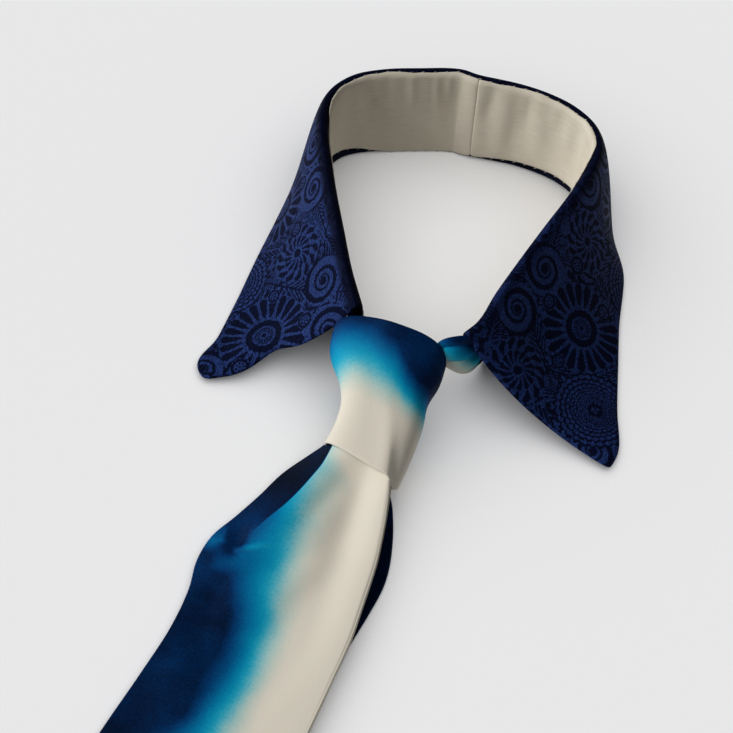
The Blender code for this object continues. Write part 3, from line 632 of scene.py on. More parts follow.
# The linings. Two halves of thin ivory silk, joined by a seam at the centre back and felled by hand
# inside the stand, where the loose silk has gone into soft upright creases.
LINING_WALL = 0.5
LINING_EASE = 0.15
LINING_SECTIONS = 91
LINING_WALL_POINTS = 12
LINING_TOP_POINTS = 7
LINING_TOP_STRETCH = 5.0
LINING_MARGIN = 3.0
BACK_FROM = -20.0
SEAM_LAP = 0.15
STITCH_LIFT = 0.3
SEAM_DIP = 0.8
SEAM_HOLD = 0.25
SEAM_ASIDE = 1.5
BILLOW = 0.45
LINING_SHORT = (
    # share of the round, bare roll above the lining
    (0.0, 0.7), (0.36, 0.9), (0.46, 1.2), (0.55, 1.2), (0.64, 0.6), (1.0, 0.6),
)
LINING_FOOT = (
    # share of the round, bare jacquard under the lining
    (0.0, 5.6), (0.26, 6.5), (0.29, 8.4), (0.32, 6.2), (0.348, 4.0), (0.372, 1.9), (0.395, 0.4),
    (0.49, 0.4), (0.53, 2.6), (0.57, 3.8), (0.62, 4.6), (1.0, 4.0),
)
LINING_CREASES = (
    # round, height, turn, half_length, half_width, rise
    (124.0, 24.0, 92.0, 22.0, 5.0, 0.7),
    (141.0, 28.0, 88.0, 24.0, 4.5, 0.7),
    (153.0, 36.0, 91.0, 10.0, 2.2, 0.7),
    (160.0, 26.0, 86.0, 22.0, 4.0, 0.7),
    (169.5, 37.0, 92.0, 10.0, 1.9, 1.0),
    (175.5, 36.0, 88.0, 9.0, 1.8, 0.6),
    (181.0, 37.0, 90.0, 9.0, 1.7, 0.9),
    (183.5, 22.0, 88.0, 30.0, 4.0, 0.5),
    (187.5, 39.0, 90.0, 6.0, 1.3, 0.7),
    (203.0, 24.0, 92.0, 26.0, 5.0, 0.6),
    (209.5, 37.0, 80.0, 9.0, 2.0, -1.5),
    (216.5, 24.0, 87.0, 24.0, 4.4, 1.0),
    (229.0, 36.0, 86.0, 8.0, 2.2, -0.6),
    (236.0, 28.0, 92.0, 20.0, 5.0, 0.9),
    (243.0, 38.0, 90.0, 6.0, 1.8, 0.5),
    (254.0, 34.0, 92.0, 10.0, 3.0, 0.7),
    (268.0, 30.0, 88.0, 14.0, 4.0, 0.7),
    (282.0, 34.0, 92.0, 9.0, 2.5, 0.5),
    (90.0, 24.0, 95.0, 20.0, 6.0, 0.6),
    (60.0, 24.0, 85.0, 20.0, 6.0, 0.5),
    (310.0, 24.0, 88.0, 20.0, 6.0, 0.6),
    (345.0, 24.0, 96.0, 18.0, 6.0, 0.5),
)
LINING_SCALLOPS = (
    # length of one scallop, height
    (8.6, 0.12), (14.3, 0.12), (37.0, 0.3),
)

# Habotai silk, a light plain weave with a soft shine; its threads are too fine to show one by one,
# so only a slub every few millimetres and a faint rib of 0.5 mm are drawn.
SLUB_SCALES = (0.12, 1.6, 1.0)
RIB_SCALE = 0.63
lining_silk, tree = new_material("ivory_habotai_silk")
flat = flat_place(tree)
slub = noise(tree, vector_maths(tree, "MULTIPLY", flat, SLUB_SCALES), 1.0, 2.0)
even = maths(tree, "MULTIPLY_ADD", noise(tree, flat, 0.06, 2.0), 0.6, slub)
finish_material(tree, {
    "Base Color": ramp(tree, even, ((0.3, srgb("#B1A795")), (1.0, srgb("#BFB8A9")))),
    "Roughness": 0.5, "IOR": 1.5, "Specular IOR Level": 0.2,
}, height=maths(tree, "MULTIPLY_ADD", wave(tree, flat, RIB_SCALE, "Y"), 0.25, slub), strength=0.15)

at_back = line.crest[:, 1] > BACK_FROM
centre_back = np.interp(SEAM_ASIDE, line.crest[at_back, 0], stations[at_back])
lining_inset = JACQUARD_WALL / 2 + LINING_EASE + LINING_WALL / 2
margin = LINING_MARGIN / line.round[-1]
lap = SEAM_LAP / line.round[-1]
lining_edges = []
for name, node, start, end in (
    ("lining_silk_left", "lining_left", margin, centre_back + lap),
    ("lining_silk_right", "lining_right", centre_back - lap, 1.0 - margin),
):
    at = np.linspace(start, end, LINING_SECTIONS)
    half = CollarLine(at)
    run = np.interp(at, stations, line.round)
    foot = np.interp(at, *zip(*LINING_FOOT))
    short = np.interp(at, *zip(*LINING_SHORT))
    scallop = sum(height * np.sin(2 * math.pi * run / length) for length, height in LINING_SCALLOPS)
    sections = []
    for i in range(LINING_SECTIONS):
        low = half.foot[i] + foot[i]
        high = half.wall_top(i, lining_inset) + half.climb[i] - short[i] + scallop[i]
        wall = np.linspace(low, high - LINING_TOP_STRETCH, LINING_WALL_POINTS + 1)[:-1]
        top = np.linspace(high - LINING_TOP_STRETCH, high, LINING_TOP_POINTS)
        sections.append(half.stand(i, lining_inset, np.concatenate((wall, top))))
    points = np.array(sections)
    level = np.linspace(0.0, 1.0, points.shape[1])
    rise = BILLOW + swells(run[:, None], points[:, :, 2], LINING_CREASES)
    from_seam = (at - centre_back) * line.round[-1]
    hold = 1.0 - SEAM_HOLD * np.exp(-((from_seam / SEAM_DIP) ** 2))
    hold = np.sin(math.pi * level) ** 0.5 * hold[:, None]
    points[:, :, :2] -= half.outward[:, None] * (np.maximum(rise, 0.0) * hold)[:, :, None]
    cut = cut_lengths(points.transpose(1, 0, 2)).transpose(1, 0, 2)
    lining = add_cloth(name, points, LINING_WALL, lining_silk, cut)
    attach(lining, "root")
    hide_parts(node)
    facing = grid_normals(points)[:, (0, -1)]
    facing *= np.sign((facing[:, :1, :2] * -half.outward[:, None]).sum(axis=2, keepdims=True))
    lining_edges += list((points[:, (0, -1)] + facing * STITCH_LIFT).transpose(1, 0, 2))


# The felling stitches. Short slanting stitches of ivory silk thread, drawn into the edges of the
# linings by hand every few millimetres.
STITCH_EVERY = 5.5
STITCH_LENGTH = 1.5
STITCH_THICK = 0.22
STITCH_SLANT = 28.0
SLANT_SPREAD = 0.4
STITCH_SIDES = 8
STITCH_SEED = 7

# Two-ply silk thread: its twist is drawn in relief and as painted light and shade along the plies.
thread, tree = new_material("ivory_silk_thread")
flat = millimetres(tree, add_node(tree, "ShaderNodeTexCoord").node.outputs["Object"])
ply_relief_and_painted_shade = wave(tree, flat, 1.6, "DIAGONAL")
finish_material(tree, {
    # Painted light and shade along the plies.
    "Base Color": mixed_colours(tree, ply_relief_and_painted_shade, srgb("#A99F8D"), srgb("#CFC8BA")),
    "Roughness": 0.45, "IOR": 1.5, "Specular IOR Level": 0.3,
}, height=ply_relief_and_painted_shade, strength=0.5)

sewing = bpy.data.node_groups.new("felling_stitches", "GeometryNodeTree")
sizes = {
    "Spacing": ("Float", STITCH_EVERY * MM),
    "Stitch length": ("Float", STITCH_LENGTH * MM),
    "Thread thickness": ("Float", STITCH_THICK * MM),
    "Slant": ("Float", math.radians(STITCH_SLANT)),
    "Seed": ("Int", STITCH_SEED),
    "Thread": ("Material", thread),
}
sewing.interface.new_socket("Geometry", in_out="INPUT", socket_type="NodeSocketGeometry")
for name, (kind, value) in sizes.items():
    sewing.interface.new_socket(name, in_out="INPUT", socket_type="NodeSocket" + kind)
sewing.interface.new_socket("Geometry", in_out="OUTPUT", socket_type="NodeSocketGeometry")
given = add_node(sewing, "NodeGroupInput").node.outputs
path = add_node(sewing, "GeometryNodeMeshToCurve", (given["Geometry"],))
spaced = {"Curve": path, "Length": given["Spacing"]}
places = add_node(sewing, "GeometryNodeCurveToPoints", spaced, mode="LENGTH").node.outputs
least = maths(sewing, "MULTIPLY", given["Slant"], 1 - SLANT_SPREAD)
most = maths(sewing, "MULTIPLY", given["Slant"], 1 + SLANT_SPREAD)
drawn = {2: least, 3: most, "Seed": given["Seed"]}
turns = add_node(sewing, "FunctionNodeRandomValue", drawn, data_type="FLOAT").node.outputs[1]
slant = add_node(sewing, "ShaderNodeCombineXYZ", {"X": turns})
turned = {"Rotation": places["Rotation"], "Rotate By": slant}
across = add_node(sewing, "FunctionNodeRotateRotation", turned, rotation_space="LOCAL")
thick = given["Thread thickness"]
lying = add_node(sewing, "ShaderNodeCombineXYZ", {"X": thick, "Y": thick, "Z": given["Stitch length"]})
round_bead = {"Segments": STITCH_SIDES, "Rings": STITCH_SIDES, "Radius": 0.5}
bead = add_node(sewing, "GeometryNodeMeshUVSphere", round_bead)
sewn = add_node(sewing, "GeometryNodeInstanceOnPoints", {
    "Points": places["Points"], "Instance": add_node(sewing, "GeometryNodeSetShadeSmooth", (bead,)),
    "Rotation": across, "Scale": lying,
})
real = add_node(sewing, "GeometryNodeRealizeInstances", {"Geometry": sewn})
dressed = add_node(sewing, "GeometryNodeSetMaterial", {"Geometry": real, "Material": given["Thread"]})
add_node(sewing, "NodeGroupOutput", (dressed,))

hem_points = []
hem_lines = []
for edge in lining_edges:
    first = len(hem_points)
    hem_points += edge.tolist()
    hem_lines += [(first + k, first + k + 1) for k in range(len(edge) - 1)]
mesh = bpy.data.meshes.new("hem_path")
mesh.from_pydata(placed(hem_points).tolist(), hem_lines, [])
hem = add_object("hem_path", mesh)
felling = hem.modifiers.new("felling", "NODES")
felling.node_group = sewing
for item in sewing.interface.items_tree:
    if item.name in sizes:
        felling[item.identifier] = sizes[item.name][1]
sewn_mesh = bpy.data.meshes.new_from_object(hem.evaluated_get(bpy.context.evaluated_depsgraph_get()))
bpy.data.objects.remove(hem, do_unlink=True)
stitches = add_object("felling_stitches", sewn_mesh)
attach(stitches, "root")


# The tie's neckband. The narrow middle of the tie, folded silk over its interlining, standing in the
# collar's fold; at both front ends it is pleated together and pulled into the knot.
BAND_WALL = 1.8
BAND_HEIGHT = 30.0
BAND_BELOW_CREST = 3.4
BAND_PLEAT_RUN = 34.0
BAND_PLEATED_HEIGHT = 15.0
BAND_POINTS = 22
BAND_SECTIONS = 181
BAND_PLEATS = 3.0
BAND_PLEAT_DEPTH = 0.4
BAND_EVERY = 4
BAND_LEFT_END = (
    # x, y, bottom, top
    (-22.8, -156.8, 22.9, 30.8),
    (-23.8, -154.0, 22.4, 30.9),
    (-25.2, -150.8, 20.6, 31.1),
    (-26.6, -147.6, 18.6, 31.8),
)
BAND_RIGHT_END = (
    # low_x, low_y, bottom, high_x, high_y, top
    (29.2, -153.6, 19.0, 25.6, -148.6, 34.6),
    (27.0, -157.4, 20.0, 22.4, -150.0, 36.0),
    (23.0, -159.0, 21.0, 18.6, -152.0, 36.4),
    (18.8, -158.2, 22.4, 14.8, -153.6, 35.6),
    (14.8, -157.6, 23.6, 12.4, -155.2, 33.6),
    (10.8, -159.2, 24.2, 10.2, -157.4, 31.4),
)
BAND_LEAVES_FOLD = 9.0
BAND_BULGE = 2.6
BAND_BULGE_RUN = 22.0
BAND_DYE_AT = 0.66
BAND_DYE_SOFT = 0.24
BAND_DYE_ENDS = 9.0
BAND_DYE_RUN = 8.0

# Heavy twill silk, dip dyed in one bath from ivory through turquoise to navy. A per-point attribute gives
# the eye the course of the colour, and on the blade also painted shade and highlight. The fine diagonal of
# the twill is drawn in relief and as painted light and shade along its ribs, for a dry, soft shine. A wave
# of scale
# TWILL_WAVE repeats every millimetre.
TWILL_PITCH = 0.5
TWILL_WAVE = 0.628
DYE_SPECKS = 0.03
YARN_SCALES = (1.8, 0.15, 1.0)
twill_silk, tree = new_material("dip_dyed_twill_silk")
flat = flat_place(tree)
bath = dye_level(tree)
drift = remap(tree, noise(tree, flat, 0.045, 3.0), (0.2, 0.8), (-0.05, 0.08))
specks = remap(tree, noise(tree, flat, 0.9, 2.0), (0.2, 0.8), (-DYE_SPECKS, DYE_SPECKS))
depth = maths(tree, "ADD", bath, maths(tree, "ADD", drift, specks))
dyed = ramp(tree, depth, (
    (0.0, srgb("#000613")), (0.07, srgb("#001433")), (0.15, srgb("#002A58")), (0.26, srgb("#004476")),
    (0.38, srgb("#006694")), (0.50, srgb("#0086AA")), (0.61, srgb("#249DB2")), (0.73, srgb("#8FB4B0")),
    (0.86, srgb("#B8BCB1")), (0.98, srgb("#C8C1B3")),
), "B_SPLINE")
twill = wave(tree, flat, TWILL_WAVE / TWILL_PITCH, "DIAGONAL")
slub = noise(tree, vector_maths(tree, "MULTIPLY", flat, YARN_SCALES), 1.0, 2.0)
# Painted light and shade along the twill's diagonal ribs.
shaded = {0: dyed, "Scale": remap(tree, twill, (0.0, 1.0), (0.92, 1.05))}
finish_material(tree, {
    "Base Color": add_node(tree, "ShaderNodeVectorMath", shaded, operation="SCALE"),
    "Roughness": 0.5, "IOR": 1.5, "Specular IOR Level": 0.04,
}, height=maths(tree, "MULTIPLY_ADD", twill, 0.5, slub), strength=0.4)

DYE_DEEPEST = 0.07


def dye_depth(level):
    """Place on the dye's ramp, 0.5 at the middle of the turquoise and 1 in the undyed ivory."""
    return np.clip(0.5 + np.asarray(level) / 4.0, DYE_DEEPEST, 1.0)


def smooth_step(value):
    """Ease from 0 to 1 as value goes from 0 to 1."""
    value = np.clip(value, 0.0, 1.0)
    return value * value * (3.0 - 2.0 * value)


band_rows = [(x, y, x, y, bottom, top, 1.0) for x, y, bottom, top in BAND_LEFT_END]
from_end = np.minimum(line.round, line.round[-1] - line.round)
for i in range(0, COLLAR_SECTIONS, BAND_EVERY):
    if from_end[i] < BAND_LEAVES_FOLD:
        continue
    top = line.top[i] - BAND_BELOW_CREST
    opened = smooth_step(from_end[i] / BAND_PLEAT_RUN)
    bottom = top - BAND_PLEATED_HEIGHT - (BAND_HEIGHT - BAND_PLEATED_HEIGHT) * opened
    level = np.array((top, bottom)) / (line.top[i] - ROLL_RADIUS)
    plan = line.crest[i] - line.outward[i] * (line.lean[i] * (1.0 - level))[:, None]
    band_rows.append((*plan[0], *plan[1], bottom, top, 1.0 - opened))
for x, y, bottom, high_x, high_y, top in BAND_RIGHT_END:
    band_rows.append((high_x, high_y, x, y, bottom, top, 1.0))
rows = spline(band_rows, np.linspace(0.0, 1.0, BAND_SECTIONS))
share = np.linspace(0.0, 1.0, BAND_POINTS)
high, low, bottom, top, pleated = rows[:, 0:2], rows[:, 2:4], rows[:, 4], rows[:, 5], rows[:, 6]
plan = low[:, None] + (high - low)[:, None] * share[:, None]
height = bottom[:, None] + (top - bottom)[:, None] * share
band = np.concatenate((plan, height[:, :, None]), axis=2)
pleats = np.sin(2 * math.pi * BAND_PLEATS * share) * BAND_PLEAT_DEPTH
band += grid_normals(band) * (pleats * smooth_step(pleated)[:, None])[:, :, None]
left_to_go = np.linalg.norm(np.diff(band[:, 0], axis=0), axis=1)[::-1].cumsum()[::-1]
left_to_go = np.append(left_to_go, 0.0)[:, None]
bulge = BAND_BULGE * np.sin(math.pi * share) * smooth_step(2.0 - 2.0 * left_to_go / BAND_BULGE_RUN)
band -= grid_normals(band) * bulge[:, :, None]
band_level = (BAND_DYE_AT - share) / BAND_DYE_SOFT - (left_to_go - BAND_DYE_ENDS) / BAND_DYE_RUN
band_cut = cut_lengths(band)
neckband = add_cloth("tie_neckband_silk", band, BAND_WALL, twill_silk, band_cut, dye_and_painted_shade=dye_depth(band_level))
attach(neckband, "root")
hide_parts("tie_neckband")


# The knot. The blade's narrow end wrapped once across the front and drawn down: its top rim is
# straight, a pressed crease runs down the right of its face, and the silk beyond it is tucked under.
KNOT_WALL = 1.2

# Each row is one ring, from the rim down: its middle, half sizes and turn, how its top leans back, and
# where its crease runs, how high, and how deep the silk beyond it is tucked.
KNOT_RINGS = (
    # x, y, z, half_width, half_depth, turn, tip_back, shoulder, ridge_at, ridge_height, tuck
    (-7.8, -156.0, 27.0, 26.0, 12.0, -9.0, 4.2, 1.6, -0.10, 0.4, 0.0),
    (-7.6, -166.0, 25.5, 24.9, 12.0, -6.0, 2.4, 2.0, 0.00, 0.4, 0.0),
    (-5.7, -177.0, 22.8, 19.9, 11.0, -5.0, 0.6, 1.5, 0.06, 0.5, 0.0),
    (-4.1, -187.0, 19.6, 18.3, 10.3, -7.0, 0.0, 0.0, 0.14, 0.6, 0.0),
    (-5.2, -198.0, 15.4, 18.0, 9.6, -13.0, 0.0, 0.0, 0.42, 0.7, 0.5),
    (-8.0, -208.8, 11.2, 18.8, 9.0, -22.0, -2.4, 0.0, 0.74, 1.1, 5.0),
)
KNOT_SECTIONS = 56
KNOT_SIDES = 112
KNOT_SIDE_SHARPNESS = 0.62
KNOT_FACE_SHARPNESS = 0.85
KNOT_RIDGE_LEFT = 0.26
KNOT_RIDGE_RIGHT = 0.22
KNOT_LEFT_DROP = 5.0
KNOT_TUCK_RUN = 0.26
KNOT_TONGUE = 0.9
KNOT_DROP_ENDS = -178.0
KNOT_DYE = (
    # place across the face, share of the way down at mid turquoise, softness
    (-1.1, 0.29, 0.16), (-0.7, 0.285, 0.15), (-0.3, 0.31, 0.155), (0.0, 0.345, 0.145), (0.2, 0.37, 0.14),
    (0.35, 0.42, 0.11), (0.5, 0.47, 0.10), (0.75, 0.505, 0.09), (1.1, 0.52, 0.11),
)
CORE_CLEARANCE = 1.7
CORE_SIDES = 56
CORE_SECTIONS = 24
CORE_PLEATS = 7.0
CORE_PLEAT_DEPTH = 0.8
CORE_DYE = 0.2
CORE_RINGS = (
    # along, width_share, depth_share
    (0.08, 0.34, 0.30),
    (0.13, 0.52, 0.55),
    (0.24, 0.96, 0.96),
    (0.32, 1.0, 1.0),
    (0.42, 1.0, 1.0),
    (0.52, 1.0, 1.0),
    (0.60, 1.0, 1.0),
    (0.66, 0.90, 0.80),
)


def knot_ring(row, sides, width_share=1.0, depth_share=1.0, inset=0.0):
    """Points round one ring of the knot, and how far across its face each lies."""
    x, y, z, half_width, half_depth, turn, tip_back, shoulder, ridge_at, ridge_height, tuck = row
    angle = np.linspace(0.0, 2 * math.pi, sides, endpoint=False)
    across = np.sign(np.cos(angle)) * np.abs(np.cos(angle)) ** KNOT_SIDE_SHARPNESS
    up = np.sign(np.sin(angle)) * np.abs(np.sin(angle)) ** KNOT_FACE_SHARPNESS
    top = np.maximum(up, 0.0)
    spread = np.where(across < ridge_at, KNOT_RIDGE_LEFT, KNOT_RIDGE_RIGHT)
    ridge = ridge_height * top * np.exp(-(((across - ridge_at) / spread) ** 2))
    side = (half_width - inset) * width_share * across
    rise = (half_depth - inset) * depth_share * up + ridge
    back = tip_back * up + shoulder * top * np.maximum(-across, 0.0)
    heading = math.radians(turn)
    plan_x = x + side * math.cos(heading)
    plan_y = y + side * math.sin(heading) + back
    tucked = smooth_step((y - KNOT_DROP_ENDS) / (KNOT_RINGS[0][1] - KNOT_DROP_ENDS))
    rise = rise - KNOT_LEFT_DROP * tucked * top * np.maximum(-across, 0.0)
    behind = tuck * top * smooth_step((across - ridge_at) / KNOT_TUCK_RUN)
    rise = rise - behind
    plan_y = plan_y - KNOT_TONGUE * behind
    return np.column_stack((plan_x, plan_y, z + rise)), across


along = np.linspace(0.0, 1.0, KNOT_SECTIONS)
rings, faces_across = zip(*(knot_ring(row, KNOT_SIDES) for row in spline(KNOT_RINGS, along)))
wrap = np.array(rings)
across = np.array(faces_across)
place, middle, softness = np.array(KNOT_DYE).T
wrap_level = (along[:, None] - np.interp(across, place, middle)) / np.interp(across, place, softness)
wrap_dye = dye_depth(wrap_level)
knot_cut = cut_lengths(np.concatenate((wrap, wrap[:, :1]), axis=1))
knot = add_cloth("tie_knot_silk", wrap, KNOT_WALL, twill_silk, knot_cut, -1.0, True, wrap_dye)
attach(knot, "root")
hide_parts("tie_knot")

core_along, core_width, core_depth = np.array(CORE_RINGS).T
fine = np.linspace(core_along[0], core_along[-1], CORE_SECTIONS)
core_rings = []
for row, at in zip(spline(KNOT_RINGS, fine), fine):
    shares = np.interp(at, core_along, core_width), np.interp(at, core_along, core_depth)
    core_rings.append(knot_ring(row, CORE_SIDES, *shares, KNOT_WALL + CORE_CLEARANCE)[0])
core = np.array(core_rings)
pleat_angle = np.linspace(0.0, 2 * math.pi, CORE_SIDES, endpoint=False)
core[:, :, 2] -= 0.5 * (1.0 + np.sin(CORE_PLEATS * pleat_angle)) * CORE_PLEAT_DEPTH
core_cut = cut_lengths(np.concatenate((core, core[:, :1]), axis=1))
last = (CORE_SECTIONS - 1) * CORE_SIDES
caps = [list(range(CORE_SIDES))[::-1], list(range(last, last + CORE_SIDES))]
core_dye = np.full(core.shape[:2], CORE_DYE)
core_silk = add_grid("tie_core_silk", core, twill_silk, core_cut, True, core_dye, caps)
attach(core_silk, "root")
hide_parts("knot_core")


# The front blade. Bias-cut silk folded over its interlining, so its long edges are soft rolls; it
# leaves the knot folded at the left and opens flat on the table.
BLADE_WALL = 2.7
BLADE = (
    # left_x, left_y, right_x, right_y, crease, z_left, z_crease, z_middle, z_crown, z_right,
    # dye, soft_navy, soft_ivory
    (-20.6, -192.0, 6.6, -201.0, 0.12, 14.0, 17.6, 18.6, 19.4, 18.6, -0.10, 0.10, 0.22),
    (-23.6, -200.4, 5.2, -211.4, 0.14, 10.8, 15.4, 16.2, 17.6, 17.6, -0.06, 0.10, 0.22),
    (-28.6, -203.4, 6.4, -217.5, 0.215, 6.6, 13.2, 13.2, 16.0, 16.6, -0.02, 0.10, 0.22),
    (-33.2, -206.8, 7.0, -222.0, 0.27, 3.8, 12.0, 11.0, 14.8, 15.4, 0.05, 0.10, 0.29),
    (-40.0, -214.7, 8.0, -231.0, 0.29, 2.6, 10.6, 8.8, 13.2, 13.8, 0.12, 0.10, 0.28),
    (-47.1, -227.7, 8.7, -242.0, 0.262, 1.9, 8.8, 7.0, 11.6, 12.3, 0.25, 0.10, 0.20),
    (-54.0, -239.5, 9.0, -252.0, 0.215, 1.6, 6.6, 5.8, 10.4, 11.1, 0.34, 0.13, 0.155),
    (-61.2, -251.2, 8.6, -262.0, 0.20, 1.6, 4.2, 5.2, 9.6, 10.3, 0.41, 0.20, 0.13),
    (-63.6, -262.7, 7.9, -273.0, 0.20, 1.6, 3.8, 4.8, 9.0, 9.7, 0.43, 0.17, 0.127),
    (-63.0, -276.0, 7.0, -286.0, 0.20, 1.6, 3.0, 4.4, 8.4, 9.1, 0.46, 0.12, 0.115),
    (-64.9, -293.6, 4.3, -304.0, 0.20, 1.6, 1.8, 4.0, 7.8, 8.5, 0.495, 0.10, 0.111),
    (-70.3, -315.8, 0.5, -327.0, 0.20, 1.6, 2.4, 3.8, 7.2, 7.8, 0.50, 0.12, 0.114),
    (-77.0, -340.0, -4.4, -355.0, 0.20, 1.6, 1.7, 4.0, 6.6, 7.1, 0.50, 0.14, 0.12),
    (-92.8, -409.0, -15.0, -423.0, 0.20, 1.6, 1.6, 4.6, 5.4, 5.6, 0.53, 0.15, 0.13),
    (-104.5, -467.0, -22.8, -478.0, 0.20, 1.6, 1.6, 4.6, 4.9, 4.8, 0.56, 0.15, 0.13),
    (-109.5, -500.0, -26.6, -510.5, 0.20, 1.6, 1.6, 1.6, 1.6, 1.6, 0.58, 0.15, 0.13),
    (-115.5, -540.0, -31.0, -550.0, 0.20, 1.6, 1.6, 1.6, 1.6, 1.6, 0.60, 0.15, 0.13),
    (-120.7, -579.3, -35.3, -589.7, 0.20, 1.6, 1.6, 1.6, 1.6, 1.6, 0.62, 0.15, 0.13),
)
BLADE_TIP = (-83.2, -628.0)
BLADE_SECTIONS = 150
BLADE_CROWDING = (
    # share of the sections, share of the length
    (0.0, 0.0), (0.12, 0.1), (0.5, 0.24), (1.0, 1.0),
)
BLADE_COLUMNS = 52
BLADE_MIDDLE = 0.72
BLADE_CROWN = 0.94
BLADE_CREASE_COLUMN = 0.2
POINT_SECTIONS = 18
POINT_BLUNT = 0.03
CREASE_CRISP_TO = -236.0
CREASE_SOFT_FROM = -262.0
# Painted shade on the folded facet left of the crease: black next to the knot, the dye's deepest navy
# further down, lighter as the crease goes soft and gone where it is soft.
FOLD_SHADE_FROM = -246.0
FOLD_SHADE_TO = -206.0
FOLD_SHADE_FADES = 0.3
LIP_FULL_TO = -255.0
LIP_FLAT_FROM = -330.0
BLADE_CREASE_COLUMNS = (0.192, 0.2, 0.208)
BLADE_LIP_COLUMNS = (0.977, 0.982, 0.985, 0.988, 0.991, 0.995)
BLADE_LIP = (
    # share of the width, how far the surface lies below the upper layer
    (0.0, 0.0), (0.977, 0.0), (0.982, 0.1), (0.985, 0.4), (0.988, 0.55), (0.991, 0.4), (0.995, 0.35),
    (1.0, 0.5),
)
BLADE_FOLDS = (
    # x, y, turn, half_length, half_width, height
    (-50.0, -249.0, 84.0, 6.0, 3.2, -1.5),
    (-52.1, -253.6, -32.0, 4.0, 1.2, 0.3),
    (-46.0, -254.8, 17.0, 4.0, 1.0, 0.8),
    (-39.9, -252.0, 24.0, 4.5, 1.0, 0.6),
    (-57.5, -258.0, 60.0, 8.0, 5.0, 0.9),
    (-52.5, -282.0, 78.0, 16.0, 5.5, -1.1),
    (-58.0, -306.0, 75.0, 14.0, 6.0, 0.7),
    (-20.0, -228.0, 62.0, 18.0, 5.0, -0.9),
    (-4.5, -256.0, 86.0, 34.0, 8.0, -1.8),
    (-17.0, -246.0, 78.0, 20.0, 6.0, 0.7),
    (-19.0, -262.0, 50.0, 14.0, 6.0, 0.8),
    (-25.0, -290.0, 65.0, 22.0, 7.0, -0.8),
    (-12.0, -318.0, 70.0, 24.0, 7.0, 0.6),
    (-45.0, -350.0, 70.0, 26.0, 9.0, -0.7),
    (-62.0, -392.0, 76.0, 30.0, 10.0, 0.9),
    (-40.0, -440.0, 74.0, 32.0, 9.0, -0.8),
    (-72.0, -470.0, 60.0, 24.0, 10.0, 0.7),
)
BLADE_DYE_AND_PAINTED_SHADE = (
    # x, y, turn, half_length, half_width, depth of colour: painted shade and highlight in the rows so
    # marked, dye in the rest
    # Painted shade in the hollow of BLADE_FOLDS at the same place.
    (-52.0, -282.0, 80.0, 14.0, 4.6, -0.8),
    # Painted shadow under the pucker.
    (-50.2, -247.6, 88.0, 7.5, 3.4, -4.0),
    (-59.0, -251.0, 60.0, 9.0, 4.0, 1.2),
    # Painted highlight along the two arcs of the pucker, this row and the next.
    (-51.5, -254.4, -28.0, 5.0, 1.1, 0.7),
    (-43.0, -253.8, 20.0, 6.5, 1.1, 0.6),
    (-54.0, -264.0, 40.0, 10.0, 5.0, 0.5),
    # Painted highlight on the swell of BLADE_FOLDS at about the same place.
    (-57.5, -309.0, 70.0, 14.0, 8.0, 0.8),
    (-52.0, -327.0, 60.0, 10.0, 8.0, -0.6),
    (-68.0, -345.0, 70.0, 16.0, 8.0, 0.7),
    (-88.0, -400.0, 70.0, 22.0, 9.0, 0.8),
    (-82.0, -440.0, 75.0, 20.0, 10.0, -0.7),
)


def blade_heights(row, across, crisp):
    """Height of the middle of the blade's cloth at each share of its width."""
    crease, z_left, z_crease = row[4:7]
    places = np.array((0.0, crease, BLADE_MIDDLE, BLADE_CROWN, 1.0))
    heights = row[5:10]
    slopes = np.gradient(heights, places)
    part = np.clip(np.searchsorted(places, across, side="right") - 1, 0, 3)
    span = places[part + 1] - places[part]
    t = (across - places[part]) / span
    soft = hermite(t, span, heights[part], heights[part + 1], slopes[part], slopes[part + 1])
    folded = np.where(across < crease, z_left + (z_crease - z_left) * across / crease, soft)
    return soft + (folded - soft) * crisp


def with_point(rows, tip, count):
    """Rows of a strip's two edges, with the straight-sided point that ends it added."""
    share = np.linspace(0.0, 1.0, count + 1)[1:, None]
    share[-1] = 1.0 - POINT_BLUNT
    ends = np.repeat(rows[-1:], count, axis=0)
    ends[:, 0:4] += (np.array(tip * 2) - ends[:, 0:4]) * share
    return np.concatenate((rows, ends))


def across_strip(rows, share):
    """Places in plan at shares of the way from a strip's left edge to its right one."""
    return rows[:, None, 0:2] + (rows[:, 2:4] - rows[:, 0:2])[:, None] * share[..., None]


blade_at = np.interp(np.linspace(0.0, 1.0, BLADE_SECTIONS), *zip(*BLADE_CROWDING))
rows = with_point(spline(BLADE, blade_at), BLADE_TIP, POINT_SECTIONS)
even = np.linspace(0.0, 1.0, BLADE_COLUMNS)
to_edges = 0.25 * (1.0 - np.cos(math.pi * even)) + 0.5 * even
column = np.unique(np.concatenate((to_edges, BLADE_CREASE_COLUMNS, BLADE_LIP_COLUMNS)))
share = np.array([np.interp(column, (0.0, BLADE_CREASE_COLUMN, 1.0), (0.0, row[4], 1.0)) for row in rows])
plan = across_strip(rows, share)
crisp = smooth_step((rows[:, 1] - CREASE_SOFT_FROM) / (CREASE_CRISP_TO - CREASE_SOFT_FROM))
heights = np.array([blade_heights(*section) for section in zip(rows, share, crisp)])
heights = np.maximum(heights, BLADE_WALL / 2)
edge_hold = np.sin(math.pi * share) ** 0.6
heights += swells(plan[:, :, 0], plan[:, :, 1], BLADE_FOLDS) * edge_hold
heights = np.maximum(heights, BLADE_WALL / 2)
lip_hold = smooth_step((rows[:, 1:2] - LIP_FLAT_FROM) / (LIP_FULL_TO - LIP_FLAT_FROM))
heights -= np.interp(share, *zip(*BLADE_LIP)) * lip_hold
blade_points = np.concatenate((plan, heights[:, :, None]), axis=2)
dye_at, soft_navy, soft_ivory = (rows[:, k:k + 1] for k in (10, 11, 12))
dye_soft = np.where(share < dye_at, soft_navy, soft_ivory)
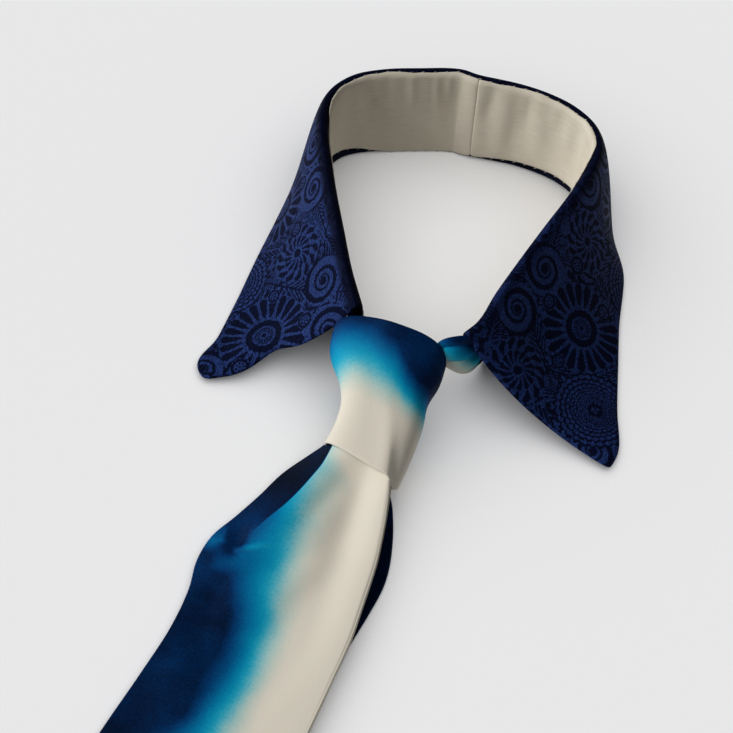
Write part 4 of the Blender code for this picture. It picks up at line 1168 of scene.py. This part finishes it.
blade_level = (share - dye_at) / dye_soft + swells(plan[:, :, 0], plan[:, :, 1], BLADE_DYE_AND_PAINTED_SHADE)
blade_dye_and_painted_shade = dye_depth(blade_level)
# Painted shade on the folded facet, over its own navy dye.
unfolded = 1.0 - crisp[:, None]
up_fold = smooth_step((rows[:, 1:2] - FOLD_SHADE_FROM) / (FOLD_SHADE_TO - FOLD_SHADE_FROM))
fold_painted_shade = DYE_DEEPEST * (1.0 - up_fold) + unfolded * FOLD_SHADE_FADES
fold_painted_shade = np.where(unfolded < 1.0, fold_painted_shade, 1.0)
in_fold = column < BLADE_CREASE_COLUMN - 1e-6
blade_dye_and_painted_shade = np.where(in_fold, np.minimum(blade_dye_and_painted_shade, fold_painted_shade), blade_dye_and_painted_shade)
blade_cut = cut_lengths(blade_points)
blade = add_cloth("tie_blade_silk", blade_points, BLADE_WALL, twill_silk, blade_cut, dye_and_painted_shade=blade_dye_and_painted_shade)
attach(blade, "root")
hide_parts("tie_blade")


# The tail. The tie's narrow end, made the same way; it comes out of the knot under the blade and
# lies flat, and only its right edge shows beside the blade.
TAIL_WALL = 2.1
TAIL = (
    # left_x, left_y, right_x, right_y, z
    (-12.5, -198.0, 2.2, -203.0, 9.6),
    (-13.2, -205.8, 3.4, -211.0, 6.9),
    (-15.5, -213.0, 7.3, -217.6, 4.3),
    (-19.0, -222.5, 10.0, -226.0, 1.9),
    (-21.8, -234.0, 11.9, -235.0, 1.2),
    (-22.4, -246.0, 13.3, -246.5, 1.2),
    (-22.6, -258.0, 13.0, -257.0, 1.2),
    (-25.0, -271.0, 10.4, -269.0, 1.2),
    (-28.5, -287.0, 6.2, -284.5, 1.2),
    (-33.5, -309.0, 1.2, -305.0, 1.2),
    (-42.0, -350.0, -7.6, -346.0, 1.2),
    (-56.5, -414.0, -22.0, -410.0, 1.2),
    (-65.5, -452.0, -31.0, -448.0, 1.2),
)
TAIL_TIP = (-51.5, -470.0)
TAIL_SECTIONS = 80
TAIL_COLUMNS = 20
TAIL_POINT_SECTIONS = 10
TAIL_DYE = 0.06

rows = with_point(spline(TAIL, np.linspace(0.0, 1.0, TAIL_SECTIONS)), TAIL_TIP, TAIL_POINT_SECTIONS)
plan = across_strip(rows, np.linspace(0.0, 1.0, TAIL_COLUMNS))
heights = np.repeat(np.maximum(rows[:, 4:5], TAIL_WALL / 2), TAIL_COLUMNS, axis=1)
tail_points = np.concatenate((plan, heights[:, :, None]), axis=2)
tail_cut = cut_lengths(tail_points)
tail_dye = np.full(heights.shape, TAIL_DYE)
tail = add_cloth("tie_tail_silk", tail_points, TAIL_WALL, twill_silk, tail_cut, dye_and_painted_shade=tail_dye)
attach(tail, "root")
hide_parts("tie_tail")


# The studio. A plain pale table of matt white laminate without an edge in view, a soft key light from
# the upper left, a wide soft light overhead and an even pale room. The key is kept off the table,
# because the tie and the collar throw almost no shadow there.
FLOOR_SIDE = 40.0
ROOM_LIGHT = 0.18
half = FLOOR_SIDE / 2
corners = [(-half, -half, 0.0), (half, -half, 0.0), (half, half, 0.0), (-half, half, 0.0)]
mesh = bpy.data.meshes.new("table")
mesh.from_pydata(corners, [], [(0, 1, 2, 3)])
table_top, tree = new_material("matt_white_laminate")
finish_material(tree, {"Base Color": srgb("#EDEDEE"), "Roughness": 0.9, "Specular IOR Level": 0.1})
mesh.materials.append(table_top)
table = add_object("table", mesh)

room = bpy.data.worlds.new("studio")
bpy.context.scene.world = room
room.use_nodes = True
background = room.node_tree.nodes["Background"].inputs
background["Color"].default_value = (1.0, 1.0, 1.0, 1.0)
background["Strength"].default_value = ROOM_LIGHT

for name, energy, angle, shines_on_table, direction in (
    ("soft_key", 3.75, 35.0, "EXCLUDE", (0.79, 0.14, -0.58)),
    ("soft_overhead", 2.47, 130.0, "INCLUDE", (0.2, -0.04, -1.0)),
):
    lamp = bpy.data.lights.new(name, "SUN")
    lamp.energy = energy
    lamp.angle = math.radians(angle)
    light = add_object(name, lamp)
    light.rotation_mode = "QUATERNION"
    light.rotation_quaternion = Vector(direction).to_track_quat("-Z", "Y")
    lit = bpy.data.collections.new(name)
    lit.objects.link(table)
    lit.collection_objects[0].light_linking.link_state = shines_on_table
    light.light_linking.receiver_collection = lit
bpy.context.scene.view_settings.view_transform = "Standard"

# The camera stands in front of the tie, a little to its right, and looks down at the collar.
CAMERA_PLACE = (80.7, -573.6, 578.9)
CAMERA_AIM = (-19.6, -149.1, 0.0)
lens = bpy.data.cameras.new("photograph")
lens.lens = 80.0
lens.sensor_width = 36.0
camera = add_object("photograph", lens)
camera.location = placed(CAMERA_PLACE)
camera.rotation_mode = "QUATERNION"
camera.rotation_quaternion = Vector(placed(CAMERA_AIM) - placed(CAMERA_PLACE)).to_track_quat("-Z", "Y")
bpy.context.scene.camera = camera
